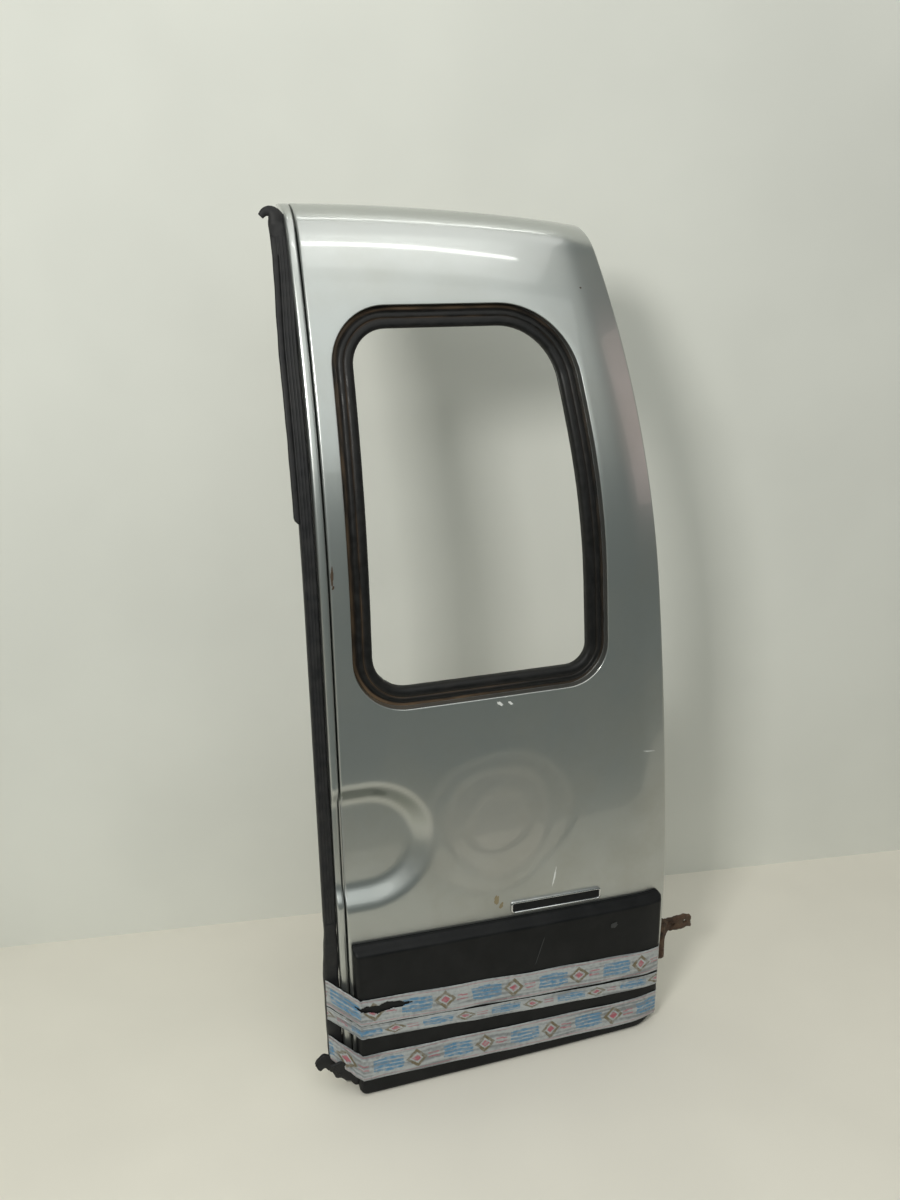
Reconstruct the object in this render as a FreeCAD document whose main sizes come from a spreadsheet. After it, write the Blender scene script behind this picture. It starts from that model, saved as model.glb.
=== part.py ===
import FreeCAD, Part
import math
import os
from FreeCAD import Rotation, Vector

# Right-hand rear door of a small van, without its glass.
# Drawn from outside: X runs right from the meeting edge, Y inwards from the outer face,
# and Z up from the lower edge.

doc = FreeCAD.newDocument("van_rear_door")
sheet = doc.addObject("Spreadsheet::Sheet", "sizes")
driving_sizes = {
    # door shell
    "door_height": 1250,
    "door_width": 517,
    "tumblehome": 117,
    "toe_taper": 17,
    "toe_height": 300,
    "crown": 6,
    "edge_band": 40,
    "edge_slope": 0.25,
    "crease_blend": 16,
    "lean": 121,
    "lean_length": 512,
    "roll_radius": 42,
    "roll_angle": 62,
    "top_drop": 40,
    "skin_sheet": 1.4,
    "skin_foot": 12,
    # window rebate
    "sill_rise": 197,
    "header_height": 124,
    "window_left": 23,
    "window_sill_width": 374,
    "window_head_width": 324,
    "window_bulge": 12,
    "rebate_width": 28,
    "rebate_depth": 12,
    "head_left_radius": 75,
    "head_right_radius": 112,
    "sill_left_radius": 78,
    "sill_right_radius": 60,
    "bead_width": 20,
    "bead_height": 3,
    # handle dish at the meeting edge
    "dish_rise": 151,
    "dish_radius": 95,
    "dish_flat": 34,
    "dish_band": 30,
    "dish_depth": 14,
    # meeting rail and its seal
    "rail_width": 13,
    "strip_depth": 4,
    "seal_width": 18,
    "seal_depth": 16,
    "seal_foot": 193,
    "lip_width": 4,
    "lip_length": 370,
    "foot_height": 89,
    "foot_extra": 4,
    "seal_lead": 2,
    "hook_width": 12,
    "hook_bore": 2.5,
    "hook_turn": 140,
    # lower cladding
    "cladding_height": 253,
    "cladding_fall": 16,
    "cladding_left": 4,
    "cladding_right_gap": 12,
    "cladding_proud": 19,
    "cladding_wall": 3,
    "cladding_bevel": 11,
    "cladding_corner": 42,
    # packing tape
    "tape_width": 44,
    "tape_strip": 22,
    "tape_sheet": 0.6,
    "tape_foot_gap": 16,
    "tape_gap": 10,
    "tape_lower_fall": 16,
    "tape_middle_fall": 30,
    "tape_upper_fall": 28,
    "tape_lower_lift": 24,
    "tape_lift": 22,
    # inner panel
    "panel_depth": 38,
    "panel_sheet": 1.2,
    "hem_width": 12,
    "aperture_left": 84,
    "aperture_width": 300,
    "aperture_radius": 28,
    "aperture_foot": 60,
    "aperture_gap": 60,
    "aperture_flange": 9,
    "upper_aperture_height": 190,
    "lower_aperture_height": 130,
    # lower hinge
    "hinge_height": 120,
    "pin_radius": 4,
    "pin_clearance": 0.05,
    "pin_offset": 10,
    "pin_setback": 20,
    "knuckle_radius": 9,
    "knuckle_height": 32,
    "outer_knuckle_height": 15,
    "knuckle_gap": 0.6,
    "leaf_sheet": 5,
    "leaf_plate_height": 110,
    "leaf_plate_depth": 30,
    "pad_sheet": 4,
    "flange_length": 44,
    "flange_reach": 30,
    "flange_setback": 24,
    "hinge_bolt_spacing": 82,
    "hinge_bolt_radius": 4,
    "flange_bolt_spacing": 22,
    "flange_hole_radius": 4.25,
    "upper_hinge_share": 0.44,
    "bolt_way": 1,
    # secondary latch and buffers on the inner side
    "rod_width": 6,
    "rod_left": 26,
    "rod_standoff": 3,
    "latch_width": 42,
    "latch_height": 62,
    "latch_depth": 20,
    "lever_height": 110,
    "guide_height": 14,
    "guide_wall": 2.5,
    "buffer_radius": 11,
    "buffer_height": 12,
}
for row, (name, value) in enumerate(driving_sizes.items(), start=1):
    sheet.set(f"A{row}", name)
    sheet.set(f"B{row}", str(value))
    sheet.setAlias(f"B{row}", name)
doc.recompute()

# Cutting prisms run well past the door on both sides.
cut_reach = 400
# The curved face runs this far past the door's lower edge and, twice, past its meeting edge.
face_margin = 30
# Fitted pieces that only lie against each other keep this much room.
seat_gap = 0.3


def size(name):
    return float(sheet.get(name))


# The outer form, as heights and offsets of the pressed skin.

def edge_at(height):
    rise = height / size("door_height")
    toe = max(size("toe_height") - height, 0) / size("toe_height")
    return size("door_width") - size("tumblehome") * rise**2 - size("toe_taper") * toe**2


def drop_at(x, height):
    return size("top_drop") * (x / size("door_width")) ** 2 * (height / size("door_height")) ** 8


def outer_point(x, height):
    past_crease = x - (edge_at(height) - size("edge_band"))
    fold = size("edge_slope") * (past_crease + math.hypot(past_crease, size("crease_blend"))) / 2
    bow = size("crown") * (x / size("door_width")) ** 2
    above = max(height - size("door_height") + size("lean_length"), 0) / size("lean_length")
    over = max(height - size("door_height") + size("roll_radius"), 0) / size("roll_radius")
    roll = size("roll_radius") * (1 - math.sqrt(1 - over**2))
    return Vector(x, bow + fold + size("lean") * above**2 + roll, height - drop_at(x, height))


def outer_face():
    straight_top = size("door_height") - size("roll_radius")
    below = -face_margin
    roll_start = straight_top - size("roll_radius")
    heights = [below + (roll_start - below) * share / 12 for share in range(13)]
    heights += [roll_start + size("roll_radius") * share for share in (0.5, 0.8, 1)]
    for step in range(1, 6):
        turned = math.radians(size("roll_angle") * step / 5)
        heights.append(straight_top + size("roll_radius") * math.sin(turned))
    blend = size("crease_blend")
    grid = []
    for height in heights:
        crease = edge_at(height) - size("edge_band")
        stations = [-2 * face_margin, -face_margin, 0]
        stations += [(crease - 4 * blend) * share / 5 for share in range(1, 6)]
        stations += [crease + blend * step for step in (-3, -2, -1, 0, 1, 2)]
        stations += [edge_at(height) + blend * step for step in (0.25, 0.75, 1.5)]
        grid.append([outer_point(x, height) for x in stations])
    surface = Part.BSplineSurface()
    surface.interpolate(grid)
    return surface.toShape()


door_face = outer_face()


# Small makers for the pieces of the document.

def slab(name, start, thickness):
    base = doc.addObject("Part::Feature", name + "_face")
    base.Shape = door_face
    base.setExpression("Placement.Base.y", start)
    body = doc.addObject("Part::Extrusion", name)
    body.Base = base
    body.DirMode = "Custom"
    body.Dir = Vector(0, 1, 0)
    body.Solid = True
    body.setExpression("LengthFwd", thickness)
    return body


def prism(name, face):
    base = doc.addObject("Part::Feature", name + "_outline")
    base.Shape = face
    base.Placement.Base = Vector(0, -cut_reach, 0)
    body = doc.addObject("Part::Extrusion", name)
    body.Base = base
    body.DirMode = "Custom"
    body.Dir = Vector(0, 1, 0)
    body.Solid = True
    body.LengthFwd = 2 * cut_reach
    return body


def box(name, length, width, height, x, y, z):
    body = doc.addObject("Part::Box", name)
    for key, value in (("Length", length), ("Width", width), ("Height", height)):
        body.setExpression(key, value)
    for axis, value in (("x", x), ("y", y), ("z", z)):
        body.setExpression("Placement.Base." + axis, value)
    return body


def window_box(name, length, height, x, z):
    return box(name, length, str(2 * cut_reach), height, x, str(-cut_reach), z)


axis_turns = {
    "x": Rotation(Vector(0, 1, 0), 90),
    "y": Rotation(Vector(1, 0, 0), -90),
    "z": Rotation(),
}


def rod(name, axis, radius, length, x, y, z):
    body = doc.addObject("Part::Cylinder", name)
    body.Placement.Rotation = axis_turns[axis]
    body.setExpression("Radius", radius)
    body.setExpression("Height", length)
    for key, value in (("x", x), ("y", y), ("z", z)):
        body.setExpression("Placement.Base." + key, value)
    return body


def fuse(name, *pieces):
    body = doc.addObject("Part::MultiFuse", name)
    body.Shapes = list(pieces)
    return body


def common(name, *pieces):
    body = doc.addObject("Part::MultiCommon", name)
    body.Shapes = list(pieces)
    return body


def cut(name, base, *tools):
    body = doc.addObject("Part::Cut", name)
    body.Base = base
    body.Tool = tools[0] if len(tools) == 1 else fuse(name + "_tools", *tools)
    return body


# Outlines, all in the XZ plane.

def flat(x, z):
    return Vector(x, 0, z)


def rounded_face(corners):
    edges = []
    starts, ends, middles = [], [], []
    count = len(corners)
    for index, (point, radius) in enumerate(corners):
        before = (corners[index - 1][0] - point).normalize()
        after = (corners[(index + 1) % count][0] - point).normalize()
        half = before.getAngle(after) / 2
        inwards = (before + after).normalize()
        starts.append(point + before * (radius / math.tan(half)))
        ends.append(point + after * (radius / math.tan(half)))
        middles.append(point + inwards * (radius / math.sin(half) - radius))
    for index in range(count):
        if corners[index][1] > 0:
            edges.append(Part.Arc(starts[index], middles[index], ends[index]).toShape())
        edges.append(Part.LineSegment(ends[index], starts[(index + 1) % count]).toShape())
    return Part.Face(Part.Wire(edges))


dish_height = size("cladding_height") + size("dish_rise")
sill_height = dish_height + size("sill_rise")
head_height = size("door_height") - size("header_height")


def window_face(inset):
    left = size("window_left") + inset
    sill_right = size("window_left") + size("window_sill_width") - inset
    head_right = size("window_left") + size("window_head_width") - inset
    low = sill_height + inset
    high = head_height - inset
    waist = flat((sill_right + head_right) / 2 + size("window_bulge"), (low + high) / 2)
    waist_radius = 4 * (high - low)
    return rounded_face([
        (flat(left, low), size("sill_left_radius") - inset),
        (flat(sill_right, low), size("sill_right_radius") - inset),
        (waist, waist_radius),
        (flat(head_right, high), size("head_right_radius") - inset),
        (flat(left, high), size("head_left_radius") - inset),
    ])


def door_outline(left, inset, foot, top):
    heights = [foot + (top - foot) * share / 8 for share in range(9)]
    right = [flat(edge_at(z) - inset, z - drop_at(edge_at(z) - inset, z)) for z in heights]
    far = right[-1].x
    upper = [flat(far + (left - far) * share / 4, 0) for share in range(5)]
    for point in upper:
        point.z = top - drop_at(point.x, top)
    right_curve = Part.BSplineCurve()
    right_curve.interpolate(right)
    upper_curve = Part.BSplineCurve()
    upper_curve.interpolate(upper)
    corner = flat(left, foot)
    edges = [
        Part.LineSegment(corner, right[0]).toShape(),
        right_curve.toShape(),
        upper_curve.toShape(),
        Part.LineSegment(upper[-1], corner).toShape(),
    ]
    return Part.Face(Part.Wire(edges))


# Outer skin: panel, window rebate and handle dish in one pressing.

skin_outline = prism("skin_outline", door_outline(0, 0, size("skin_foot"), size("door_height")))
window_hole = prism("window_hole", window_face(size("skin_sheet")))
window_outer = prism("window_outer", window_face(0))
window_inner = prism("window_inner", window_face(size("rebate_width")))

dish_front = doc.addObject("Part::Cone", "dish_front")
dish_back = doc.addObject("Part::Cone", "dish_back")
dish_lead = 2
dish_overlap = 1.4
dish_steepness = size("dish_band") / size("dish_depth")
dish_sides = []
for cone, shift in ((dish_front, "0"), (dish_back, f"sizes.skin_sheet * {dish_overlap}")):
    cone.Placement.Rotation = axis_turns["y"]
    cone.setExpression("Radius1", f"sizes.dish_radius + {dish_lead} * sizes.dish_band / sizes.dish_depth")
    cone.setExpression("Radius2", "sizes.dish_radius - sizes.dish_band")
    cone.setExpression("Height", f"sizes.dish_depth + {dish_lead}")
    cone.setExpression("Placement.Base.x", "sizes.dish_flat")
    cone.setExpression("Placement.Base.y", f"{shift} - {dish_lead}")
    cone.setExpression("Placement.Base.z", "sizes.cladding_height + sizes.dish_rise")
    wide = size("dish_radius") + dish_lead * dish_steepness
    narrow = size("dish_radius") - size("dish_band")
    deep = size("dish_depth")
    profile = [(-dish_lead, -wide), (-dish_lead, wide), (deep, narrow), (deep, -narrow), (-dish_lead, -wide)]
    trough = doc.addObject("Part::Feature", cone.Name + "_profile")
    trough.Shape = Part.Face(Part.makePolygon([Vector(-2 * size("rail_width"), y, z) for y, z in profile]))
    trough.setExpression("Placement.Base.y", shift)
    trough.setExpression("Placement.Base.z", "sizes.cladding_height + sizes.dish_rise")
    run = doc.addObject("Part::Extrusion", cone.Name + "_run")
    run.Base = trough
    run.DirMode = "Custom"
    run.Dir = Vector(1, 0, 0)
    run.Solid = True
    run.setExpression("LengthFwd", "2 * sizes.rail_width + sizes.dish_flat")
    dish_sides.append(fuse(cone.Name + "_space", cone, run))
dish_space, dish_outside = dish_sides

skin_slab = slab("skin_slab", "0", "sizes.skin_sheet")
skin_panel = cut("skin_panel", common("skin_blank", skin_slab, skin_outline), window_hole, dish_space)
rebate_ring = cut("rebate_ring", window_outer, window_hole)
rebate_wall = common(
    "rebate_wall", slab("rebate_wall_slab", "0", "sizes.rebate_depth + sizes.skin_sheet"), rebate_ring)
rebate_floor_ring = cut("rebate_floor_ring", window_outer, window_inner)
rebate_floor = common(
    "rebate_floor", slab("rebate_floor_slab", "sizes.rebate_depth", "sizes.skin_sheet"), rebate_floor_ring)
dish_cup = cut("dish_cup", dish_outside, dish_space)
dish_shell = common(
    "dish_shell", dish_cup,
    slab("dish_slab", "0", "sizes.dish_depth + 4 * sizes.skin_sheet"), skin_outline)
outer_skin = fuse("outer_skin", skin_panel, rebate_wall, rebate_floor, dish_shell)

# Adhesive bead that stays on the rebate floor.
bead_margin = (size("rebate_width") - size("bead_width")) / 2
bead_ring = cut(
    "bead_ring", prism("bead_outer", window_face(bead_margin)),
    prism("bead_inner", window_face(size("rebate_width") - bead_margin)))
window_bead = common(
    "window_bead",
    slab("bead_slab", "sizes.rebate_depth - sizes.bead_height", "sizes.bead_height"), bead_ring)

# Meeting rail: step, strip and return of the free edge. The dish runs on across its strip.
rail_tall = "sizes.door_height - sizes.skin_foot"
strip_back = "sizes.strip_depth + sizes.panel_sheet"
rail_step = common(
    "rail_step", slab("rail_step_slab", "sizes.skin_sheet", strip_back + " - sizes.skin_sheet"),
    window_box("rail_step_box", "sizes.panel_sheet", rail_tall, "0", "sizes.skin_foot"))
rail_strip = common(
    "rail_strip", slab("rail_strip_slab", "sizes.strip_depth", "sizes.panel_sheet"),
    window_box("rail_strip_box", "sizes.rail_width", rail_tall, "-sizes.rail_width", "sizes.skin_foot"))
rail_return = common(
    "rail_return", slab("rail_return_slab", "sizes.strip_depth", "sizes.panel_depth - sizes.strip_depth"),
    window_box("rail_return_box", "sizes.panel_sheet", rail_tall, "-sizes.rail_width", "sizes.skin_foot"))
rail_back = common(
    "rail_back", slab("rail_back_slab", "sizes.panel_depth - sizes.panel_sheet", "sizes.panel_sheet"),
    window_box("rail_back_box", "sizes.rail_width + sizes.panel_sheet", rail_tall, "-sizes.rail_width",
               "sizes.skin_foot"))
rail_dish = common(
    "rail_dish", dish_cup,
    slab("rail_dish_slab", "sizes.strip_depth", "sizes.dish_depth + 4 * sizes.skin_sheet - sizes.strip_depth"),
    window_box("rail_dish_box", "sizes.rail_width", rail_tall, "-sizes.rail_width", "sizes.skin_foot"))
rail_front = cut("rail_front", fuse("rail_front_blank", rail_step, rail_strip), dish_outside)
meeting_rail = fuse(
    "meeting_rail", rail_front, cut("rail_return_clear", rail_return, dish_space), rail_back, rail_dish)

# Rubber seal along the rail, its torn lip, its moulded foot and its curled top.
seal_x = f"-sizes.rail_width - {seat_gap} - sizes.seal_width"
seal_slab = slab("seal_slab", "sizes.dish_depth - sizes.seal_lead", "sizes.seal_depth")
seal_top = "sizes.door_height - sizes.roll_radius"
meeting_seal = common(
    "meeting_seal", seal_slab,
    window_box("seal_box", "sizes.seal_width", seal_top + " - sizes.seal_foot - sizes.foot_height", seal_x,
               "sizes.seal_foot + sizes.foot_height"))
meeting_seal_lip = common(
    "meeting_seal_lip", slab("lip_slab", "sizes.dish_depth", "sizes.lip_width"),
    window_box("lip_box", "sizes.lip_width", "sizes.lip_length", seal_x + " - sizes.lip_width",
               seal_top + " - sizes.lip_length"))
meeting_seal_foot = common(
    "meeting_seal_foot", slab("foot_slab", "sizes.dish_depth - sizes.seal_lead", "sizes.seal_depth"),
    window_box("foot_box", "sizes.seal_width + sizes.foot_extra",
               "sizes.seal_foot + sizes.foot_height - 4 * sizes.skin_foot", seal_x + " - sizes.foot_extra",
               "4 * sizes.skin_foot"))
hook_right = -size("rail_width") - (size("seal_width") - size("hook_width")) / 2
hook_left = hook_right - size("hook_width")
hook_centre = hook_left - size("hook_bore")
hook_low = size("door_height") - size("roll_radius")
hook_rise = hook_low + size("hook_width") + size("lip_width")
hook_front = outer_point(hook_left, hook_rise).y + size("dish_depth") - size("seal_lead")
hook_back = hook_front + size("seal_depth")
hook_section = Part.Face(Part.makePolygon([
    Vector(x, y, hook_rise) for x, y in (
        (hook_left, hook_front), (hook_right, hook_front), (hook_right, hook_back), (hook_left, hook_back),
        (hook_left, hook_front))]))
hook_curl = doc.addObject("Part::Feature", "hook_curl")
hook_curl.Shape = hook_section.revolve(
    Vector(hook_centre, 0, hook_rise), Vector(0, -1, 0), size("hook_turn"))
hook_neck = common(
    "hook_neck", slab("hook_slab", "sizes.dish_depth - sizes.seal_lead", "sizes.seal_depth"),
    window_box("hook_box", "sizes.hook_width", str(hook_rise - hook_low), str(hook_left), seal_top))
meeting_seal_hook = fuse("meeting_seal_hook", hook_neck, hook_curl)

# Lower cladding: a hollow cover that stands proud of the skin, with a bevelled upper edge.
clad_right = edge_at(size("cladding_height") / 2) - size("cladding_right_gap")


def cladding_face(inset):
    left = size("cladding_left") + inset
    right = clad_right - inset
    high_left = size("cladding_height") - inset
    high_right = size("cladding_height") - size("cladding_fall") - inset
    corner = size("cladding_corner")
    return rounded_face([
        (flat(left, inset), corner / 4),
        (flat(right, inset), corner - inset),
        (flat(right, high_right), corner / 5),
        (flat(left, high_left), 0),
    ])


clad_outer = common(
    "clad_outer", slab("clad_slab", "-sizes.cladding_proud", f"sizes.cladding_proud - {seat_gap}"),
    prism("clad_prism", cladding_face(0)))
clad_hollow = common(
    "clad_hollow",
    slab("clad_hollow_slab", "sizes.cladding_wall - sizes.cladding_proud", "sizes.cladding_proud"),
    prism("clad_hollow_prism", cladding_face(size("cladding_wall"))))


def bevel_cutter(name, inwards):
    bevel = size("cladding_bevel")
    section = [
        (-3 * bevel, -2 * bevel), (0, bevel), (0, 3 * bevel), (-3 * bevel, 3 * bevel), (-3 * bevel, -2 * bevel)]
    base = doc.addObject("Part::Feature", name + "_section")
    base.Shape = Part.Face(Part.makePolygon([Vector(0, y, z) for y, z in section]))
    base.setExpression("Placement.Base.y", "sizes.cladding_bevel - sizes.cladding_proud + " + inwards)
    base.setExpression("Placement.Base.z", "sizes.cladding_height - sizes.cladding_bevel")
    body = doc.addObject("Part::Extrusion", name)
    body.Base = base
    body.DirMode = "Custom"
    body.Dir = Vector(clad_right - size("cladding_left"), 0, -size("cladding_fall")).normalize()
    body.Solid = True
    body.setExpression("LengthFwd", "sizes.door_width")
    return body


outer_bevel = bevel_cutter("outer_bevel", "0")
inner_bevel = bevel_cutter("inner_bevel", "1.5 * sizes.cladding_wall")
lower_cladding = cut("lower_cladding", clad_outer, cut("clad_room", clad_hollow, inner_bevel), outer_bevel)

# Packing tape: three turns over the cladding, each bridging from its corner to the seal.

def tape_run(name, width, top, fall, lift_at_seal):
    left = size("cladding_left")
    right = clad_right - size("cladding_wall")
    middle = size("cladding_height") / 2
    blend = size("crease_blend")
    crease = edge_at(middle) - size("edge_band")
    stations = [left + (crease - 2 * blend - left) * share / 6 for share in range(7)]
    stations += [crease - blend, crease, crease + blend, (crease + blend + right) / 2, right]
    far = -size("rail_width") - size("seal_width") - 4 * seat_gap
    rim = [Vector(far, size("dish_depth") - 4, top + lift_at_seal)]
    for x in stations:
        front = outer_point(x, middle).y - size("cladding_proud") - 3 * seat_gap
        rim.append(Vector(x, front, top - fall * (x - left) / (right - left)))
    upper = Part.makePolygon(rim)
    lower = Part.makePolygon([point - Vector(0, 0, width) for point in rim])
    lengths = Part.makeLoft([upper, lower], False, True).extrude(Vector(0, -size("tape_sheet"), 0)).Solids
    body = doc.addObject("Part::Feature", name)
    body.Shape = lengths[0].multiFuse(lengths[1:])
    return body


tape_low = size("skin_foot") + size("tape_width") + size("tape_foot_gap")
tape_high = tape_low + 2 * size("tape_width") + size("tape_gap")
tape_between = tape_high - size("tape_width") - 2
tape_lower_wrap = tape_run(
    "tape_lower_wrap", size("tape_width"), tape_low, size("tape_lower_fall"), size("tape_lower_lift"))
tape_middle_wrap = tape_run(
    "tape_middle_wrap", size("tape_strip"), tape_between, size("tape_middle_fall"), size("tape_lift"))
tape_upper_wrap = tape_run(
    "tape_upper_wrap", size("tape_width"), tape_high, size("tape_upper_fall"), size("tape_lift"))

# Inner panel: pan, side wall, hem flange and window collar, with service apertures.
panel_left = 2 * size("panel_sheet")
panel_top = size("door_height") - 0.4 * size("roll_radius") - size("hem_width")
hem_foot = size("skin_foot") + 2
panel_foot = size("skin_foot") + size("hem_width")
hem_top = panel_top + size("hem_width") / 2
hem_outline = prism("hem_outline", door_outline(panel_left, panel_left, hem_foot, hem_top))
pan_outline = prism("pan_outline", door_outline(panel_left, size("hem_width"), panel_foot, panel_top))
wall_inset = size("hem_width") + size("panel_sheet")
pan_hollow = prism(
    "pan_hollow", door_outline(panel_left + size("panel_sheet"), wall_inset, panel_foot + size("panel_sheet"),
                               panel_top - size("panel_sheet")))


def aperture_face(low, height, grow):
    left = size("aperture_left") - grow
    right = left + size("aperture_width") + 2 * grow
    bottom = low - grow
    top = low + height + grow
    radius = size("aperture_radius") + grow
    return rounded_face([(flat(x, z), radius) for x, z in (
        (left, bottom), (right, bottom), (right, top), (left, top))])


apertures = []
aperture_flanges = []
aperture_low = panel_foot + size("aperture_foot")
for place in ("lower", "upper"):
    tall = size(place + "_aperture_height")
    opening = prism(place + "_aperture", aperture_face(aperture_low, tall, 0))
    collar = prism(place + "_aperture_collar", aperture_face(aperture_low, tall, size("panel_sheet")))
    apertures.append(opening)
    aperture_flanges.append(common(
        place + "_aperture_flange",
        slab(place + "_flange_slab", "sizes.panel_depth - sizes.aperture_flange", "sizes.aperture_flange"),
        cut(place + "_flange_ring", collar, opening)))
    aperture_top = aperture_low + tall
    aperture_low = aperture_top + size("aperture_gap")
pan_sheet = cut(
    "pan_sheet",
    common("pan_blank", slab("pan_slab", "sizes.panel_depth - sizes.panel_sheet", "sizes.panel_sheet"),
           pan_outline),
    window_inner, *apertures)
pan_wall = common(
    "pan_wall", slab("pan_wall_slab", "sizes.skin_sheet", "sizes.panel_depth - sizes.skin_sheet"),
    cut("pan_wall_ring", pan_outline, pan_hollow))
hem_flange = cut(
    "hem_flange",
    common("hem_blank", slab("hem_slab", "sizes.skin_sheet", "sizes.panel_sheet"),
           cut("hem_ring", hem_outline, pan_hollow)),
    dish_outside)
collar_ring = cut(
    "collar_ring", prism("collar_outer", window_face(size("rebate_width") - size("panel_sheet"))), window_inner)
window_collar = common(
    "window_collar",
    slab("collar_slab", "sizes.rebate_depth + sizes.skin_sheet",
         "sizes.panel_depth - sizes.rebate_depth - sizes.skin_sheet"),
    collar_ring)
panel_blank = fuse(
    "panel_blank", pan_sheet, cut("pan_wall_clear", pan_wall, dish_outside), hem_flange, window_collar,
    *aperture_flanges)

# Lower hinge: pad on the side wall, door leaf, pin and pillar leaf.
hinge_edge = edge_at(size("hinge_height"))
skin_edge_y = outer_point(hinge_edge, size("hinge_height")).y
pin_x = hinge_edge + size("pin_offset")
pin_y = skin_edge_y + size("pin_setback")
pad_face = hinge_edge - size("hem_width") + size("pad_sheet")


def wall_pad(name, face_x, centre_y, centre_z, depth, height):
    block = box(name + "_block", "2 * sizes.hem_width", str(depth), str(height),
                f"{face_x} - 2 * sizes.hem_width", str(centre_y - depth / 2), str(centre_z - height / 2))
    return cut(name + "_seat", block, pan_outline)


leaf_depth = size("leaf_plate_depth")
leaf_height = size("leaf_plate_height")
bolt_heights = [size("hinge_height") + side * size("hinge_bolt_spacing") / 2 for side in (-1, 1)]
lower_pad = wall_pad("lower_pad", pad_face, pin_y, size("hinge_height"), leaf_depth, leaf_height)
pad_holes = [
    rod(f"pad_hole_{index}", "x", "sizes.hinge_bolt_radius", "4 * sizes.hem_width",
        f"{pad_face} - 3 * sizes.hem_width", str(pin_y), str(z))
    for index, z in enumerate(bolt_heights)]
hinge_reinforcement_lower = cut("hinge_reinforcement_lower", lower_pad, *pad_holes)

bore = "sizes.pin_radius + sizes.pin_clearance"
leaf_plate = box("leaf_plate", "sizes.leaf_sheet", "sizes.leaf_plate_depth", "sizes.leaf_plate_height",
                 str(pad_face), str(pin_y - leaf_depth / 2), "sizes.hinge_height - sizes.leaf_plate_height / 2")
leaf_pieces = [leaf_plate]
for side, start in (("low", "-sizes.knuckle_height / 2 - sizes.knuckle_gap - sizes.outer_knuckle_height"),
                    ("high", "sizes.knuckle_height / 2 + sizes.knuckle_gap")):
    leaf_pieces.append(rod(f"knuckle_{side}", "z", "sizes.knuckle_radius", "sizes.outer_knuckle_height",
                           str(pin_x), str(pin_y), "sizes.hinge_height + " + start))
    leaf_pieces.append(box(f"knuckle_arm_{side}", f"{pin_x - pad_face}", "sizes.leaf_sheet + 2",
                           "sizes.outer_knuckle_height", str(pad_face), f"{pin_y} - sizes.leaf_sheet / 2 - 1",
                           "sizes.hinge_height + " + start))
leaf_bore = rod("leaf_bore", "z", bore, "2 * sizes.leaf_plate_height", str(pin_x), str(pin_y),
                "sizes.hinge_height - sizes.leaf_plate_height")
leaf_holes = [
    rod(f"leaf_hole_{index}", "x", "sizes.hinge_bolt_radius", "4 * sizes.leaf_sheet",
        f"{pad_face} - sizes.leaf_sheet", str(pin_y), str(z))
    for index, z in enumerate(bolt_heights)]
lower_hinge_door_leaf = cut("lower_hinge_door_leaf", fuse("leaf_blank", *leaf_pieces), leaf_bore, *leaf_holes)

thread_reach = 0.6 * size("pad_sheet")
bolt_solids = []
for index, z in enumerate(bolt_heights):
    head = doc.addObject("Part::Prism", f"bolt_head_{index}")
    head.Polygon = 6
    head.Placement.Rotation = axis_turns["x"]
    head.setExpression("Circumradius", "1.7 * sizes.hinge_bolt_radius")
    head.setExpression("Height", "1.3 * sizes.hinge_bolt_radius")
    for key, value in (("x", f"{pad_face} + sizes.leaf_sheet"), ("y", str(pin_y)), ("z", str(z))):
        head.setExpression("Placement.Base." + key, value)
    shank = rod(f"bolt_shank_{index}", "x", f"sizes.hinge_bolt_radius - {seat_gap}",
                f"sizes.leaf_sheet + {thread_reach}", f"{pad_face} - {thread_reach}", str(pin_y), str(z))
    bolt_solids.append(fuse(f"bolt_{index}", head, shank))
lower_hinge_bolts = doc.addObject("Part::Compound", "lower_hinge_bolts")
lower_hinge_bolts.Links = bolt_solids

pin_low = "sizes.hinge_height - sizes.knuckle_height / 2 - sizes.knuckle_gap - sizes.outer_knuckle_height - 2"
pin_run = "sizes.knuckle_height + 2 * sizes.knuckle_gap + 2 * sizes.outer_knuckle_height + 2"
pin_shaft = rod("pin_shaft", "z", "sizes.pin_radius", pin_run + " + 1", str(pin_x), str(pin_y), pin_low)
pin_head = rod("pin_head", "z", "1.6 * sizes.pin_radius", "sizes.pin_radius", str(pin_x), str(pin_y),
               pin_low + " + " + pin_run + " + 0.5")
lower_hinge_pin = fuse("lower_hinge_pin", pin_shaft, pin_head)

strap = size("leaf_sheet")
strap_top = pin_y + size("knuckle_radius")
flange_start = pin_x + size("flange_reach")
flange_end = flange_start + size("flange_length")
flange_back = strap_top + size("flange_setback")
strap_body = doc.addObject("PartDesign::Body", "pillar_strap")
strap_sketch = strap_body.newObject("Sketcher::SketchObject", "strap_section")
section_plane = [item for item in strap_body.Origin.OriginFeatures if item.Role == "XY_Plane"][0]
strap_sketch.AttachmentSupport = [(section_plane, "")]
strap_sketch.MapMode = "FlatFace"
strap_points = [
    (pin_x, strap_top - strap), (pin_x + strap, strap_top - strap),
    (flange_start + strap / 2, flange_back - strap), (flange_end, flange_back - strap),
    (flange_end, flange_back), (flange_start - strap / 2, flange_back),
    (pin_x + strap / 2, strap_top), (pin_x, strap_top),
]
for index, (x, y) in enumerate(strap_points):
    following = strap_points[(index + 1) % len(strap_points)]
    strap_sketch.addGeometry(Part.LineSegment(Vector(x, y, 0), Vector(*following, 0)), False)
strap_pad = strap_body.newObject("PartDesign::Pad", "strap_pad")
strap_pad.Profile = strap_sketch
strap_pad.setExpression("Length", "sizes.knuckle_height")
strap_body.setExpression("Placement.Base.z", "sizes.hinge_height - sizes.knuckle_height / 2")
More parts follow.
